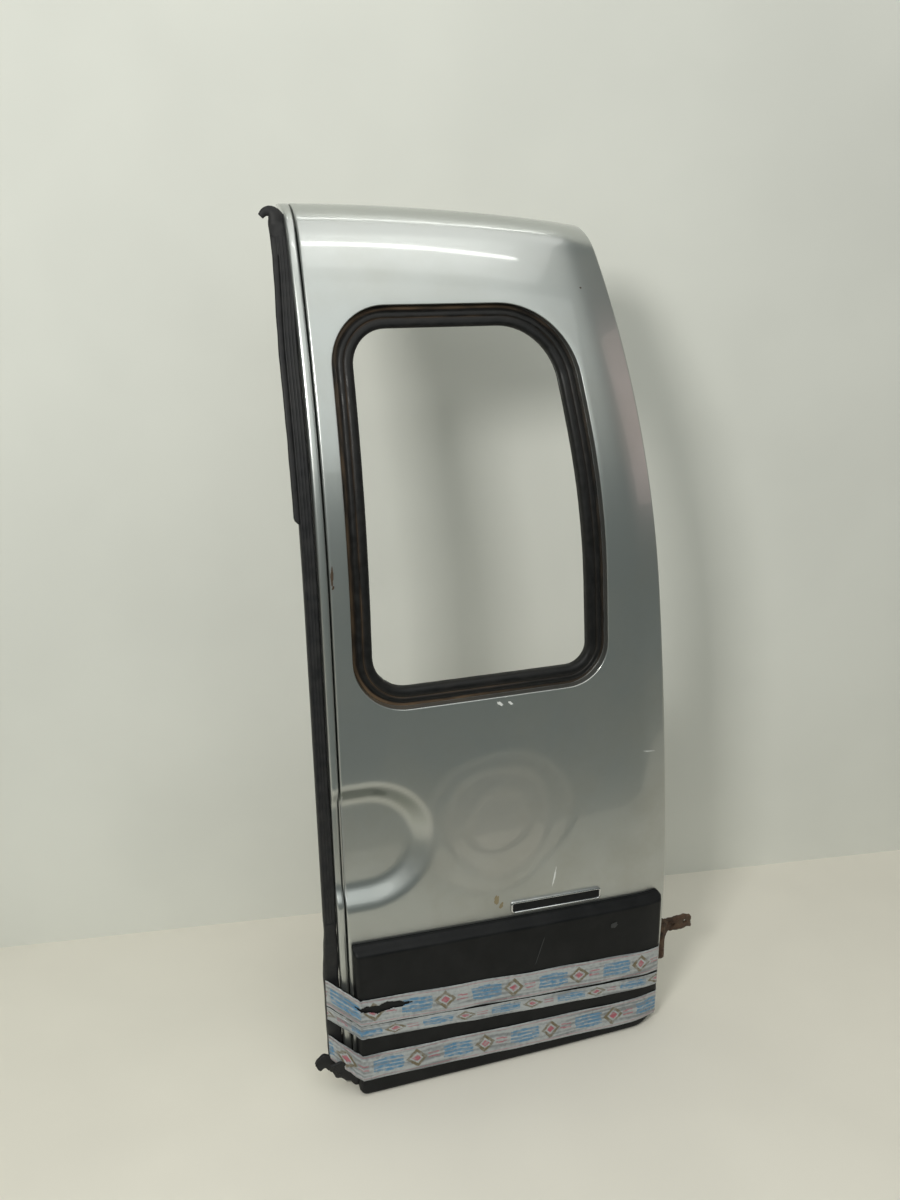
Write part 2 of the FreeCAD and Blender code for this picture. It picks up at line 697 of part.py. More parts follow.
pillar_knuckle = rod("pillar_knuckle", "z", "sizes.knuckle_radius", "sizes.knuckle_height",
                     str(pin_x), str(pin_y), "sizes.hinge_height - sizes.knuckle_height / 2")
pillar_bore = rod("pillar_bore", "z", bore, "2 * sizes.knuckle_height", str(pin_x), str(pin_y),
                  "sizes.hinge_height - sizes.knuckle_height")
flange_middle = (flange_start + flange_end) / 2
flange_holes = [
    rod(f"flange_hole_{side}", "y", "sizes.flange_hole_radius", "8 * sizes.leaf_sheet",
        f"{flange_middle} + {side} * sizes.flange_bolt_spacing / 2", str(flange_back - 4 * strap),
        "sizes.hinge_height")
    for side in (-1, 1)]
lower_hinge_pillar_leaf = cut(
    "lower_hinge_pillar_leaf", fuse("pillar_blank", strap_body, pillar_knuckle), pillar_bore, *flange_holes)

# Upper hinge seat: the hinge itself is gone, its threaded pad stays.
upper_hinge_height = size("upper_hinge_share") * size("door_height")
upper_face = edge_at(upper_hinge_height) - size("hem_width") + size("pad_sheet")
upper_y = outer_point(edge_at(upper_hinge_height), upper_hinge_height).y + size("pin_setback")
upper_pad = wall_pad("upper_pad", upper_face, upper_y, upper_hinge_height, leaf_depth, leaf_height)
upper_holes = [
    rod(f"upper_hole_{side}", "x", "sizes.hinge_bolt_radius", "4 * sizes.hem_width",
        f"{upper_face} - 3 * sizes.hem_width", str(upper_y),
        f"{upper_hinge_height} + {side} * sizes.hinge_bolt_spacing / 2")
    for side in (-1, 1)]
hinge_reinforcement_upper = cut("hinge_reinforcement_upper", upper_pad, *upper_holes)

# Inner panel and window frame: the pressing is divided where its lengths meet, with room for the hinge bolts.
bolt_ways = [
    rod(f"bolt_way_{hole.Name}", "x", "sizes.hinge_bolt_radius + sizes.bolt_way", "4 * sizes.hem_width",
        str(face - 3 * size("hem_width")), str(y), str(z))
    for hole, face, y, z in [
        (hole, pad_face, pin_y, z) for hole, z in zip(pad_holes, bolt_heights)] + [
        (hole, upper_face, upper_y, upper_hinge_height + side * size("hinge_bolt_spacing") / 2)
        for hole, side in zip(upper_holes, (-1, 1))]]
panel_open = cut("panel_open", panel_blank, *bolt_ways)
waist_low = panel_foot + size("aperture_foot") + size("lower_aperture_height") + size("aperture_gap") / 2
belt_low = (aperture_top + sill_height) / 2
sill_top = sill_height + size("rebate_width") + size("sill_left_radius") * 0.3
head_low = head_height - size("head_left_radius") - size("bead_height") * 4
frame_middle = size("window_left") + size("window_head_width") / 2
frame_bays = {
    "inner_panel": (-size("door_width"), size("door_width"), -size("skin_foot"), waist_low),
    "inner_panel_waist": (-size("door_width"), size("door_width"), waist_low, belt_low),
    "window_frame_sill": (-size("door_width"), size("door_width"), belt_low, sill_top),
    "window_frame_left": (-size("door_width"), frame_middle, sill_top, head_low),
    "window_frame_right": (frame_middle, size("door_width"), sill_top, head_low),
    "window_frame_head": (-size("door_width"), size("door_width"), head_low, size("door_height")),
}
panel_members = [
    common(name, panel_open, window_box(name + "_bay", str(right - left), str(high - low), str(left), str(low)))
    for name, (left, right, low, high) in frame_bays.items()]

# Secondary latches, their rods and guides on the inner side of the free edge.
latch_left = "sizes.rod_left + sizes.rod_width / 2 - sizes.latch_width / 2"
upper_latch_low = f"{panel_top} - sizes.latch_height - 2 * sizes.hem_width / 3"
lower_latch_low = f"{panel_foot} + 4"
latch_slab = slab("latch_slab", "sizes.panel_depth", "sizes.latch_depth")
upper_latch = common(
    "upper_latch", latch_slab,
    window_box("upper_latch_box", "sizes.latch_width", "sizes.latch_height", latch_left, upper_latch_low))
lower_latch = common(
    "lower_latch", slab("lower_latch_slab", "sizes.panel_depth", "sizes.latch_depth"),
    window_box("lower_latch_box", "sizes.latch_width", "sizes.latch_height", latch_left, lower_latch_low))
lever_height = size("lever_height")
lever_low = f"sizes.cladding_height + sizes.dish_rise - {lever_height / 2}"
rod_slab_start = "sizes.panel_depth + sizes.rod_standoff"
upper_latch_rod = common(
    "upper_latch_rod", slab("upper_rod_slab", rod_slab_start, "sizes.rod_width"),
    window_box("upper_rod_box", "sizes.rod_width", f"{upper_latch_low} - ({lever_low} + {lever_height})",
               "sizes.rod_left", f"{lever_low} + {lever_height}"))
lower_latch_rod = common(
    "lower_latch_rod", slab("lower_rod_slab", rod_slab_start, "sizes.rod_width"),
    window_box("lower_rod_box", "sizes.rod_width", f"{lever_low} - ({lower_latch_low} + sizes.latch_height)",
               "sizes.rod_left", f"{lower_latch_low} + sizes.latch_height"))
guide_wall = size("guide_wall")
guide_height = size("guide_height")
rod_room = window_box("rod_room", f"sizes.rod_width + {2 * seat_gap}", "sizes.door_height",
                      f"sizes.rod_left - {seat_gap}", "0")
rod_way = common(
    "rod_way", rod_room,
    slab("rod_way_slab", f"{rod_slab_start} - {seat_gap}", f"sizes.rod_width + {2 * seat_gap}"))
guide_blocks = []
for index, share in enumerate((0.15, 0.45, 0.75)):
    guide_blocks.append(window_box(
        f"guide_box_{index}", f"sizes.rod_width + {2 * guide_wall}", str(guide_height),
        f"sizes.rod_left - {guide_wall}",
        f"{lever_low} + {lever_height} + {share} * ({upper_latch_low} - ({lever_low} + {lever_height}))"))
guide_strip = slab("guide_slab", "sizes.panel_depth", f"sizes.rod_standoff + sizes.rod_width + {guide_wall}")
rod_guides = cut("rod_guides", common("guide_blank", guide_strip, fuse("guide_group", *guide_blocks)), rod_way)

# Release lever between the two rods.
lever_middle = size("rod_left") + size("rod_width") / 2
base_width = 0.8 * size("latch_width")
grip_width = 0.44 * size("latch_width")
grip_depth = 0.9 * size("latch_depth")
grip_height = 0.6 * lever_height
lever_base = box("lever_base", str(base_width), "sizes.rod_standoff + sizes.rod_width", str(lever_height),
                 str(lever_middle - base_width / 2), f"sizes.panel_depth + {2 * seat_gap}", lever_low)
lever_grip = box("lever_grip", str(grip_width), str(grip_depth), str(grip_height),
                 str(lever_middle - grip_width / 2), "sizes.panel_depth + sizes.leaf_sheet / 2",
                 f"{lever_low} + {(lever_height - grip_height) / 2}")
release_lever = fuse("release_lever", lever_base, lever_grip)

# Rubber buffers on the sill of the inner panel.
buffer_solids = []
for index, share in enumerate((0.3, 0.75)):
    x = size("door_width") * share
    z = panel_foot + 30
    seat = outer_point(x, z).y + size("panel_depth")
    buffer = doc.addObject("Part::Cone", f"buffer_{index}")
    buffer.Placement.Rotation = axis_turns["y"]
    buffer.setExpression("Radius1", "sizes.buffer_radius")
    buffer.setExpression("Radius2", "sizes.buffer_radius * 0.7")
    buffer.setExpression("Height", "sizes.buffer_height")
    for key, value in (("x", str(x)), ("y", str(seat + seat_gap)), ("z", str(z))):
        buffer.setExpression("Placement.Base." + key, value)
    buffer_solids.append(buffer)
bump_stops = doc.addObject("Part::Compound", "bump_stops")
bump_stops.Links = buffer_solids

nodes = [
    outer_skin, window_bead, meeting_rail, meeting_seal, meeting_seal_lip, meeting_seal_foot, meeting_seal_hook,
    lower_cladding, tape_upper_wrap, tape_middle_wrap, tape_lower_wrap, *panel_members,
    hinge_reinforcement_lower, hinge_reinforcement_upper, lower_hinge_door_leaf, lower_hinge_bolts,
    lower_hinge_pin, lower_hinge_pillar_leaf, upper_latch, lower_latch, upper_latch_rod, lower_latch_rod, rod_guides, release_lever, bump_stops,
]
doc.recompute()

for item in doc.Objects:
    if "Invalid" in item.State or "Error" in item.State:
        raise RuntimeError(f"{item.Name} failed: {item.State}")
for node in nodes:
    if node.Shape.isNull() or not node.Shape.isValid() or not node.Shape.Solids:
        raise RuntimeError(f"{node.Label} has no valid solid")

# The part's origin is the middle of the flat face that the pillar leaf is bolted by.
origin = Vector(flange_middle, flange_back, size("hinge_height"))
print("origin in door coordinates", origin)
print("pin from origin", Vector(pin_x, pin_y, size("hinge_height")) - origin)
os.makedirs("parts", exist_ok=True)
for node in nodes:
    placed = node.Shape.copy()
    placed.translate(origin * -1)
    placed.exportStep(f"parts/{node.Label}.step")
    corner = placed.BoundBox
    print(node.Label, len(placed.Solids), [round(v, 1) for v in (
        corner.XMin, corner.XMax, corner.YMin, corner.YMax, corner.ZMin, corner.ZMax)])
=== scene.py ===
import math

import bmesh
import bpy
import numpy as np
from mathutils import Matrix, Vector, noise


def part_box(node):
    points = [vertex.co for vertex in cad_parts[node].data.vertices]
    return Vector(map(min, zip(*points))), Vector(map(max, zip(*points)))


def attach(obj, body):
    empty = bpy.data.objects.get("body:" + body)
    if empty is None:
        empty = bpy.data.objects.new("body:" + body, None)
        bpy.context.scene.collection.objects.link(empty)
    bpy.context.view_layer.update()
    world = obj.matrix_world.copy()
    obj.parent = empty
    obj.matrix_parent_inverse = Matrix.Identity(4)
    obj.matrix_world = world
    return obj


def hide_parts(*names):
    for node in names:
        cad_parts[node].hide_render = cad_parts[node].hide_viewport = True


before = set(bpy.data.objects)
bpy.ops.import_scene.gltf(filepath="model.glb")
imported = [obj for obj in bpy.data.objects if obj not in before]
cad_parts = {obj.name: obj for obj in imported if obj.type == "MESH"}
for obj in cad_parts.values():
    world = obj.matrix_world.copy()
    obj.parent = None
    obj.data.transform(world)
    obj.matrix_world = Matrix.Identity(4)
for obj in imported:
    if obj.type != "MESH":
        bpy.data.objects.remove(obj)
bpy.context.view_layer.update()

# The pressed door's own shape, in metres from the meeting edge (x), the outer face (depth) and the lower edge (z).
doorForm = {
    "height": 1.250, "width": 0.517, "tumblehome": 0.117, "toeTaper": 0.017, "toeHeight": 0.300,
    "crown": 0.006, "edgeBand": 0.040, "edgeSlope": 0.25, "creaseBlend": 0.016,
    "lean": 0.121, "leanLength": 0.512, "rollRadius": 0.042, "topDrop": 0.040, "foot": 0.012,
}
seamX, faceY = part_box("outer_skin")[0][:2]
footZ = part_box("lower_cladding")[0][2]
straightTop = doorForm["height"] - doorForm["rollRadius"]


def edgeAt(v):  # x of the door's right edge
    rise = v / doorForm["height"]
    toe = np.maximum(doorForm["toeHeight"] - v, 0) / doorForm["toeHeight"]
    return doorForm["width"] - doorForm["tumblehome"] * rise**2 - doorForm["toeTaper"] * toe**2


def dropAt(x, v):  # the top edge falls towards the hinge side
    return doorForm["topDrop"] * (x / doorForm["width"]) ** 2 * (v / doorForm["height"]) ** 8


def liftOf(x, z):  # undoes dropAt
    v = z
    for step in range(4):
        v = z + dropAt(x, v)
    return v


def faceDepth(x, v):
    past = x - (edgeAt(v) - doorForm["edgeBand"])
    fold = doorForm["edgeSlope"] * (past + np.hypot(past, doorForm["creaseBlend"])) / 2
    bow = doorForm["crown"] * (x / doorForm["width"]) ** 2
    above = np.maximum(v - doorForm["height"] + doorForm["leanLength"], 0) / doorForm["leanLength"]
    over = np.clip((v - straightTop) / doorForm["rollRadius"], 0, 1)
    roll = doorForm["rollRadius"] * (1 - np.sqrt(1 - over**2))
    return bow + fold + doorForm["lean"] * above**2 + roll


def onDoor(x, v, depth):  # points of the part's frame, from door values
    x, v, depth = np.broadcast_arrays(np.asarray(x, float), np.asarray(v, float), np.asarray(depth, float))
    return np.stack((seamX + x, faceY + faceDepth(x, v) + depth, footZ + v - dropAt(x, v)), axis=-1)


def smoothStep(t):
    t = np.clip(t, 0, 1)
    return t * t * (3 - 2 * t)


def softRamp(t, rounding):  # straight slope from 0 to 1 with rounded ends
    return (t + np.hypot(t, rounding) - (t - 1) - np.hypot(t - 1, rounding)) / 2


def roundedOutline(corners, perArc=14):  # corners are (x, z, radius)
    points = []
    for i, (x, z, radius) in enumerate(corners):
        here = np.array((x, z))
        back = np.array(corners[i - 1][:2]) - here
        ahead = np.array(corners[(i + 1) % len(corners)][:2]) - here
        back, ahead = back / np.linalg.norm(back), ahead / np.linalg.norm(ahead)
        if radius <= 0:
            points.append(here)
            continue
        half = math.acos(np.clip(back @ ahead, -1, 1)) / 2
        middle = (back + ahead) / np.linalg.norm(back + ahead)
        centre = here + middle * radius / math.sin(half)
        start, end = here + back * radius / math.tan(half) - centre, here + ahead * radius / math.tan(half) - centre
        first = math.atan2(start[1], start[0])
        turn = (math.atan2(end[1], end[0]) - first + math.pi) % (2 * math.pi) - math.pi
        for k in range(perArc + 1):
            angle = first + turn * k / perArc
            points.append(centre + radius * np.array((math.cos(angle), math.sin(angle))))
    return np.array(points)


def evenLoop(points, step):  # a closed outline at even spacing, with its inward normals
    closed = np.vstack((points, points[:1]))
    lengths = np.concatenate(([0], np.cumsum(np.linalg.norm(np.diff(closed, axis=0), axis=1))))
    count = int(lengths[-1] / step)
    along = np.linspace(0, lengths[-1], count, endpoint=False)
    loop = np.stack([np.interp(along, lengths, closed[:, axis]) for axis in (0, 1)], axis=1)
    ahead = np.roll(loop, -1, axis=0) - np.roll(loop, 1, axis=0)
    inward = np.stack((-ahead[:, 1], ahead[:, 0]), axis=1)
    inward /= np.linalg.norm(inward, axis=1)[:, None]
    if ((loop.mean(axis=0) - loop) * inward).sum() < 0:
        inward = -inward
    return loop, inward


def insideOf(points, loop):  # even-odd test
    inside = np.zeros(len(points), bool)
    for (ax, az), (bx, bz) in zip(loop, np.roll(loop, -1, axis=0)):
        crosses = (az > points[:, 1]) != (bz > points[:, 1])
        with np.errstate(divide="ignore", invalid="ignore"):
            inside ^= crosses & (points[:, 0] < (bx - ax) * (points[:, 1] - az) / (bz - az) + ax)
    return inside


def awayFrom(points, loop):  # distance to the outline and the index of its nearest point
    nearest = np.full(len(points), np.inf)
    index = np.zeros(len(points), int)
    for first in range(0, len(points), 4000):
        part = points[first : first + 4000]
        square = ((part[:, None, :] - loop[None, :, :]) ** 2).sum(axis=2)
        index[first : first + 4000] = square.argmin(axis=1)
        nearest[first : first + 4000] = np.sqrt(square.min(axis=1))
    return nearest, index


def gridFaces(rows, cols, closedCols=False, closedRows=False):
    faces = []
    for r in range(rows if closedRows else rows - 1):
        for c in range(cols if closedCols else cols - 1):
            up, on = (r + 1) % rows, (c + 1) % cols
            faces.append((r * cols + c, r * cols + on, up * cols + on, up * cols + c))
    return faces


def tubeFaces(rows, cols):  # a closed tube with both ends filled
    return gridFaces(rows, cols, closedCols=True) + [tuple(range(cols)), tuple(range((rows - 1) * cols, rows * cols))]


outwards = Vector((0, -1, 0))


def addObject(name, data):
    thing = bpy.data.objects.new(name, data)
    bpy.context.collection.objects.link(thing)
    return thing


def makePiece(name, points, faces, material, outward=None, smoothAngle=40):
    mesh = bpy.data.meshes.new(name)
    mesh.from_pydata([tuple(p) for p in points], [], faces)
    work = bmesh.new()
    work.from_mesh(mesh)
    bmesh.ops.delete(work, geom=[v for v in work.verts if not v.link_faces], context="VERTS")
    bmesh.ops.recalc_face_normals(work, faces=work.faces)
    if outward is not None:  # an open sheet faces the given way
        if sum(f.normal.dot(outward) * f.calc_area() for f in work.faces) < 0:
            bmesh.ops.reverse_faces(work, faces=work.faces)
    work.to_mesh(mesh)
    work.free()
    mesh.shade_smooth()
    mesh.set_sharp_from_angle(angle=math.radians(smoothAngle))
    mesh.materials.append(material)
    return addObject(name, mesh)


def thicken(piece, sheet):  # inwards from the modelled face
    solid = piece.modifiers.new("sheetThickness", "SOLIDIFY")
    solid.thickness = sheet
    solid.offset = -1


def settle(piece, body, slotName, *nodes):
    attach(piece, body)
    if nodes:
        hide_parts(*nodes)


def setValues(piece, name, values):  # one number per vertex
    layer = piece.data.attributes.new(name, "FLOAT", "POINT")
    layer.data.foreach_set("value", np.asarray(values, np.float32))


def wander(x, y, z=0.0, scale=1.0, seed=0.0):
    return noise.noise(Vector((x * scale + seed, y * scale + 3.7 * seed, z * scale - seed)))


def wanderRow(places, z, scale, seed):
    return np.array([wander(x, y, z, scale, seed) for x, y in places])


def ripple(size, scale, shift, x, y, seed):
    return size * wander(x, y, 0, scale, seed + shift)


# Materials. Shared effects are groups that give out colours, masks and heights.
def newGroup(name, inputs, outputs):
    group = bpy.data.node_groups.new(name, "ShaderNodeTree")
    for label, kind, value in inputs:
        group.interface.new_socket(label, in_out="INPUT", socket_type=kind).default_value = value
    for label, kind in outputs:
        group.interface.new_socket(label, in_out="OUTPUT", socket_type=kind)
    return group, group.nodes.new("NodeGroupInput"), group.nodes.new("NodeGroupOutput")


def feed(tree, socket, value):  # a link from another socket, or a plain value
    if isinstance(value, bpy.types.NodeSocket):
        tree.links.new(value, socket)
    else:
        socket.default_value = value


def addNode(tree, kind, feeds=None, **values):
    node = tree.nodes.new(kind)
    for name, value in values.items():
        setattr(node, name, value)
    for name, value in (feeds or {}).items():
        feed(tree, node.inputs[name], value)
    return node


def mixColour(tree, factor, first, second):
    feeds = {0: factor, 6: first, 7: second}  # the node's colour sockets
    return addNode(tree, "ShaderNodeMix", feeds, data_type="RGBA").outputs[2]


def mathNode(tree, operation, first, second, clamp=False):
    return addNode(tree, "ShaderNodeMath", {0: first, 1: second}, operation=operation, use_clamp=clamp).outputs[0]


def ramp(tree, value, low, high, lowOut=0.0, highOut=1.0):
    feeds = dict(enumerate((value, low, high, lowOut, highOut)))
    return addNode(tree, "ShaderNodeMapRange", feeds, interpolation_type="SMOOTHSTEP").outputs[0]


dustForm = {"detail": 6, "roughness": 0.65, "patch": (0.38, 0.72), "byHeight": (0.0, 0.75, 1.0, 0.45)}


def makeDustGroup():  # patchy dirt over a base colour, heavier near the ground
    group, given, result = newGroup(
        "roadDust",
        [("Base", "NodeSocketColor", (0.5, 0.5, 0.5, 1)), ("Dust", "NodeSocketColor", (0.3, 0.27, 0.22, 1)),
         ("Amount", "NodeSocketFloat", 0.3), ("Patch Size", "NodeSocketFloat", 9.0),
         ("Ground Height", "NodeSocketFloat", footZ)],
        [("Colour", "NodeSocketColor"), ("Mask", "NodeSocketFloat")])
    place = addNode(group, "ShaderNodeTexCoord").outputs["Object"]
    patches = addNode(group, "ShaderNodeTexNoise", {
        "Vector": place, "Scale": given.outputs["Patch Size"], "Detail": dustForm["detail"],
        "Roughness": dustForm["roughness"]})
    split = addNode(group, "ShaderNodeSeparateXYZ", {0: place})
    above = mathNode(group, "SUBTRACT", split.outputs[2], given.outputs["Ground Height"])
    patch = ramp(group, patches.outputs[0], *dustForm["patch"])
    mask = mathNode(group, "MULTIPLY", patch, ramp(group, above, *dustForm["byHeight"]))
    mask = mathNode(group, "MULTIPLY", mask, given.outputs["Amount"], clamp=True)
    feed(group, result.inputs["Colour"], mixColour(group, mask, given.outputs["Base"], given.outputs["Dust"]))
    feed(group, result.inputs["Mask"], mask)
    return group


def makeGrainGroup(detail=3):  # fine height pattern for a bump
    group, given, result = newGroup(
        "fineGrain",
        [("Grain Size", "NodeSocketFloat", 900.0), ("Lump Size", "NodeSocketFloat", 60.0),
         ("Lumps", "NodeSocketFloat", 0.3)],
        [("Height", "NodeSocketFloat"), ("Mottle", "NodeSocketFloat")])
    place = addNode(group, "ShaderNodeTexCoord").outputs["Object"]
    grain, lump = (
        addNode(group, "ShaderNodeTexNoise", {"Vector": place, "Scale": scale, "Detail": detail}).outputs[0]
        for scale in (given.outputs["Grain Size"], given.outputs["Lump Size"]))
    lumps = mathNode(group, "MULTIPLY", lump, given.outputs["Lumps"])
    feed(group, result.inputs["Height"], mathNode(group, "ADD", grain, lumps))
    feed(group, result.inputs["Mottle"], lump)
    return group


roadDust, fineGrain = makeDustGroup(), makeGrainGroup()


def newMaterial(name, metallic=0.0, coat=0.0, coatRoughness=0.1, specular=0.5):
    material = bpy.data.materials.new(name)
    material.use_nodes = True
    tree = material.node_tree
    shader = tree.nodes["Principled BSDF"]
    for label, value in (("Metallic", metallic), ("Coat Weight", coat), ("Coat Roughness", coatRoughness),
                         ("Specular IOR Level", specular)):
        shader.inputs[label].default_value = value
    return material, tree, shader


def placeGroup(tree, group, **values):  # patchSize sets the input Patch Size
    node = addNode(tree, "ShaderNodeGroup", node_tree=group)
    for name, value in values.items():
        label = "".join(" " + c if c.isupper() else c for c in name).strip().title()
        node.inputs[label].default_value = value
    return node


def placeGrain(tree, look):
    return placeGroup(tree, fineGrain, grainSize=look["grainSize"], lumpSize=look["lumpSize"], lumps=look["lumps"])


def addBump(tree, shader, height, look):
    bump = addNode(tree, "ShaderNodeBump", {
        "Strength": look["bump"], "Distance": look["bumpDepth"], "Height": height})
    feed(tree, shader.inputs["Normal"], bump.outputs[0])


weathering = {"mottle": (0.35, 0.65), "gloss": (0.3, 0.7), "dustRougher": 0.25}


def dustyFinish(name):  # base colour, dust, grain bump and mottled roughness
    look = finishes[name]
    shine = {key: look[key] for key in ("metallic", "coat", "coatRoughness", "specular") if key in look}
    material, tree, shader = newMaterial(name, **shine)
    grain = placeGrain(tree, look)
    mottle = grain.outputs["Mottle"]
    base = mixColour(tree, ramp(tree, mottle, *weathering["mottle"]), look["colour"], look["shade"])
    dust = placeGroup(tree, roadDust, dust=look["dust"], amount=look["dustAmount"], patchSize=look["patchSize"])
    feed(tree, dust.inputs["Base"], base)
    feed(tree, shader.inputs["Base Color"], dust.outputs["Colour"])
    rough = ramp(tree, mottle, *weathering["gloss"], *look["roughness"])
    dusty = mathNode(tree, "MULTIPLY", dust.outputs["Mask"], weathering["dustRougher"])
    feed(tree, shader.inputs["Roughness"], mathNode(tree, "ADD", rough, dusty, clamp=True))
    addBump(tree, shader, grain.outputs["Height"], look)
    return material, tree, shader


def tintByValue(tree, shader, name, tint, rougher=0.0):  # a per-vertex value brings in a second colour
    amount = addNode(tree, "ShaderNodeAttribute", attribute_name=name).outputs["Fac"]
    base, rough = (shader.inputs[label].links[0].from_socket for label in ("Base Color", "Roughness"))
    feed(tree, shader.inputs["Base Color"], mixColour(tree, amount, base, tint))
    if rougher:
        more = mathNode(tree, "MULTIPLY", amount, rougher)
        feed(tree, shader.inputs["Roughness"], mathNode(tree, "ADD", rough, more, clamp=True))


finishes = {
    "silverPaint": dict(
        colour=(0.455, 0.472, 0.459, 1), shade=(0.424, 0.442, 0.428, 1), dust=(0.36, 0.345, 0.29, 1), dustAmount=0.5,
        patchSize=7.0, grainSize=600, lumpSize=5.0, lumps=0.0, roughness=(0.29, 0.33), bump=0.0,
        bumpDepth=0.0002, metallic=0.9, coat=1.0, coatRoughness=0.045),
    "innerPaint": dict(
        colour=(0.40, 0.41, 0.40, 1), shade=(0.34, 0.35, 0.34, 1), dust=(0.23, 0.20, 0.15, 1), dustAmount=0.6,
        patchSize=11.0, grainSize=900, lumpSize=14.0, lumps=0.2, roughness=(0.45, 0.58), bump=0.06,
        bumpDepth=0.0004, metallic=0.25),
    "sealRubber": dict(
        colour=(0.011, 0.011, 0.012, 1), shade=(0.019, 0.019, 0.020, 1), dust=(0.07, 0.066, 0.058, 1),
        dustAmount=0.30, patchSize=26.0, grainSize=1400, lumpSize=70.0, lumps=0.5, roughness=(0.46, 0.62), bump=0.15,
        bumpDepth=0.0004, specular=0.24),
    "adhesive": dict(
        colour=(0.006, 0.006, 0.006, 1), shade=(0.009, 0.009, 0.009, 1), dust=(0.04, 0.034, 0.026, 1),
        dustAmount=0.22, patchSize=30.0, grainSize=800, lumpSize=90.0, lumps=0.7, roughness=(0.34, 0.52), bump=0.2,
        bumpDepth=0.0005, specular=0.24),
    "claddingPlastic": dict(
        colour=(0.0045, 0.0050, 0.0056, 1), shade=(0.007, 0.0075, 0.008, 1), dust=(0.030, 0.030, 0.030, 1),
        dustAmount=0.22, patchSize=16.0, grainSize=2200, lumpSize=28.0, lumps=0.12, roughness=(0.36, 0.48), bump=0.12,
        bumpDepth=0.0003, specular=0.18),
    "zincSteel": dict(
        colour=(0.55, 0.54, 0.50, 1), shade=(0.42, 0.41, 0.38, 1), dust=(0.25, 0.17, 0.09, 1), dustAmount=0.5,
        patchSize=40.0, grainSize=1500, lumpSize=55.0, lumps=0.3, roughness=(0.32, 0.5), bump=0.1,
        bumpDepth=0.0003, metallic=0.9),
    "latchPlastic": dict(
        colour=(0.035, 0.036, 0.038, 1), shade=(0.05, 0.05, 0.052, 1), dust=(0.2, 0.18, 0.15, 1), dustAmount=0.4,
        patchSize=30.0, grainSize=1800, lumpSize=40.0, lumps=0.2, roughness=(0.42, 0.55), bump=0.15,
        bumpDepth=0.0003),
    "rustySteel": dict(
        colour=(0.085, 0.042, 0.023, 1), shade=(0.035, 0.022, 0.016, 1), dust=(0.20, 0.14, 0.09, 1), dustAmount=0.5,
        patchSize=60.0, grainSize=700, lumpSize=130.0, lumps=1.2, roughness=(0.7, 0.9), bump=0.8,
        bumpDepth=0.0016, metallic=0.1),
    "chromeBlank": dict(
        colour=(0.72, 0.73, 0.74, 1), shade=(0.62, 0.63, 0.64, 1), dust=(0.3, 0.28, 0.24, 1), dustAmount=0.3,
        patchSize=60.0, grainSize=1500, lumpSize=40.0, lumps=0.1, roughness=(0.10, 0.2), bump=0.03,
        bumpDepth=0.0002, metallic=1.0),
}
# Tints laid over finishes: the rust stain is real dirt, the dent tint is a painted reflection of the floor, and the
# dish tint is painted shade.
stains = {
    "wearPatchAndDentReflection": (0.58, 0.545, 0.50, 1), "dentRougher": 0.16, "paintedDishShade": (0.13, 0.155, 0.135, 1),
    "rustStain": (0.115, 0.075, 0.045, 1),
}
paint, paintTree, paintShader = dustyFinish("silverPaint")
# painted reflection: the dent's middle is tinted paler and warmer, a painted reflection of the floor, and made rougher
tintByValue(paintTree, paintShader, "wearPatchAndDentReflection", stains["wearPatchAndDentReflection"], stains["dentRougher"])
# painted shade: a darker green tint on the dish's upper slope
tintByValue(paintTree, paintShader, "paintedDishShade", stains["paintedDishShade"])
innerPaint, rubber = dustyFinish("innerPaint")[0], dustyFinish("sealRubber")[0]
glue, glueTree, glueShader = dustyFinish("adhesive")
tintByValue(glueTree, glueShader, "rustStain", stains["rustStain"])
plastic, zinc, latchPlastic, rust, chrome = (
    dustyFinish(name)[0] for name in ("claddingPlastic", "zincSteel", "latchPlastic", "rustySteel", "chromeBlank"))
filmForm = {
    "coat": 0.3, "coatRoughness": 0.12, "grainSize": 420.0, "lumpSize": 55.0, "lumps": 1.2, "roughness": (0.22, 0.42),
    "bump": 0.25, "bumpDepth": 0.0006,
}


def makeTapeFilm():
    form = filmForm
    material, tree, shader = newMaterial("tapeFilm", coat=form["coat"], coatRoughness=form["coatRoughness"])
    # the print attribute holds the print together with painted shade in the creases
    printAndCreaseShade = addNode(tree, "ShaderNodeAttribute", attribute_name="print")
    grain = placeGrain(tree, form)
    rough = ramp(tree, grain.outputs["Mottle"], *weathering["gloss"], *form["roughness"])
    feed(tree, shader.inputs["Base Color"], printAndCreaseShade.outputs["Color"])
    feed(tree, shader.inputs["Roughness"], rough)
    addBump(tree, shader, grain.outputs["Height"], form)
    return material


tapeFilm = makeTapeFilm()
print("materials ready")

# Outer skin: one pressed sheet with the dish, the window rebate and the turned edges.
skinForm = {
    "cell": 0.0045, "edgeRadius": 0.0025, "leftFlange": 0.012, "rightFlange": 0.007, "rollEnd": math.radians(80),
    "sheet": 0.0012, "creaseZone": 0.022, "creaseColumns": 10, "bandColumns": 5, "rollRows": 18, "filletSteps": 4,
    "dishReach": 0.034, "dishHeight": 0.404, "dishRadius": 0.095, "dishBand": 0.028, "dishDepth": 0.017,
    "dishRound": 0.14, "paintedShadeReach": 0.7, "flangeStart": 0.3, "smoothAngle": 60,
    "dentX": 0.228, "dentZ": 0.406, "dentWidth": 0.110, "dentHeight": 0.114, "dentDepth": 0.0016, "dentRim": 0.15,
    "dentSteps": ((1.08, 0.4, 0.36), (0.82, 1.9, 0.38), (0.50, 3.3, 0.26)),  # reach, turn, share of the depth
    "dentUneven": ((2, 0.035), (3, 0.030), (5, 0.018)),  # waves round the rim, size
    "dentReflectionTint": 0.38, "paintedShadeTint": 0.7,
}
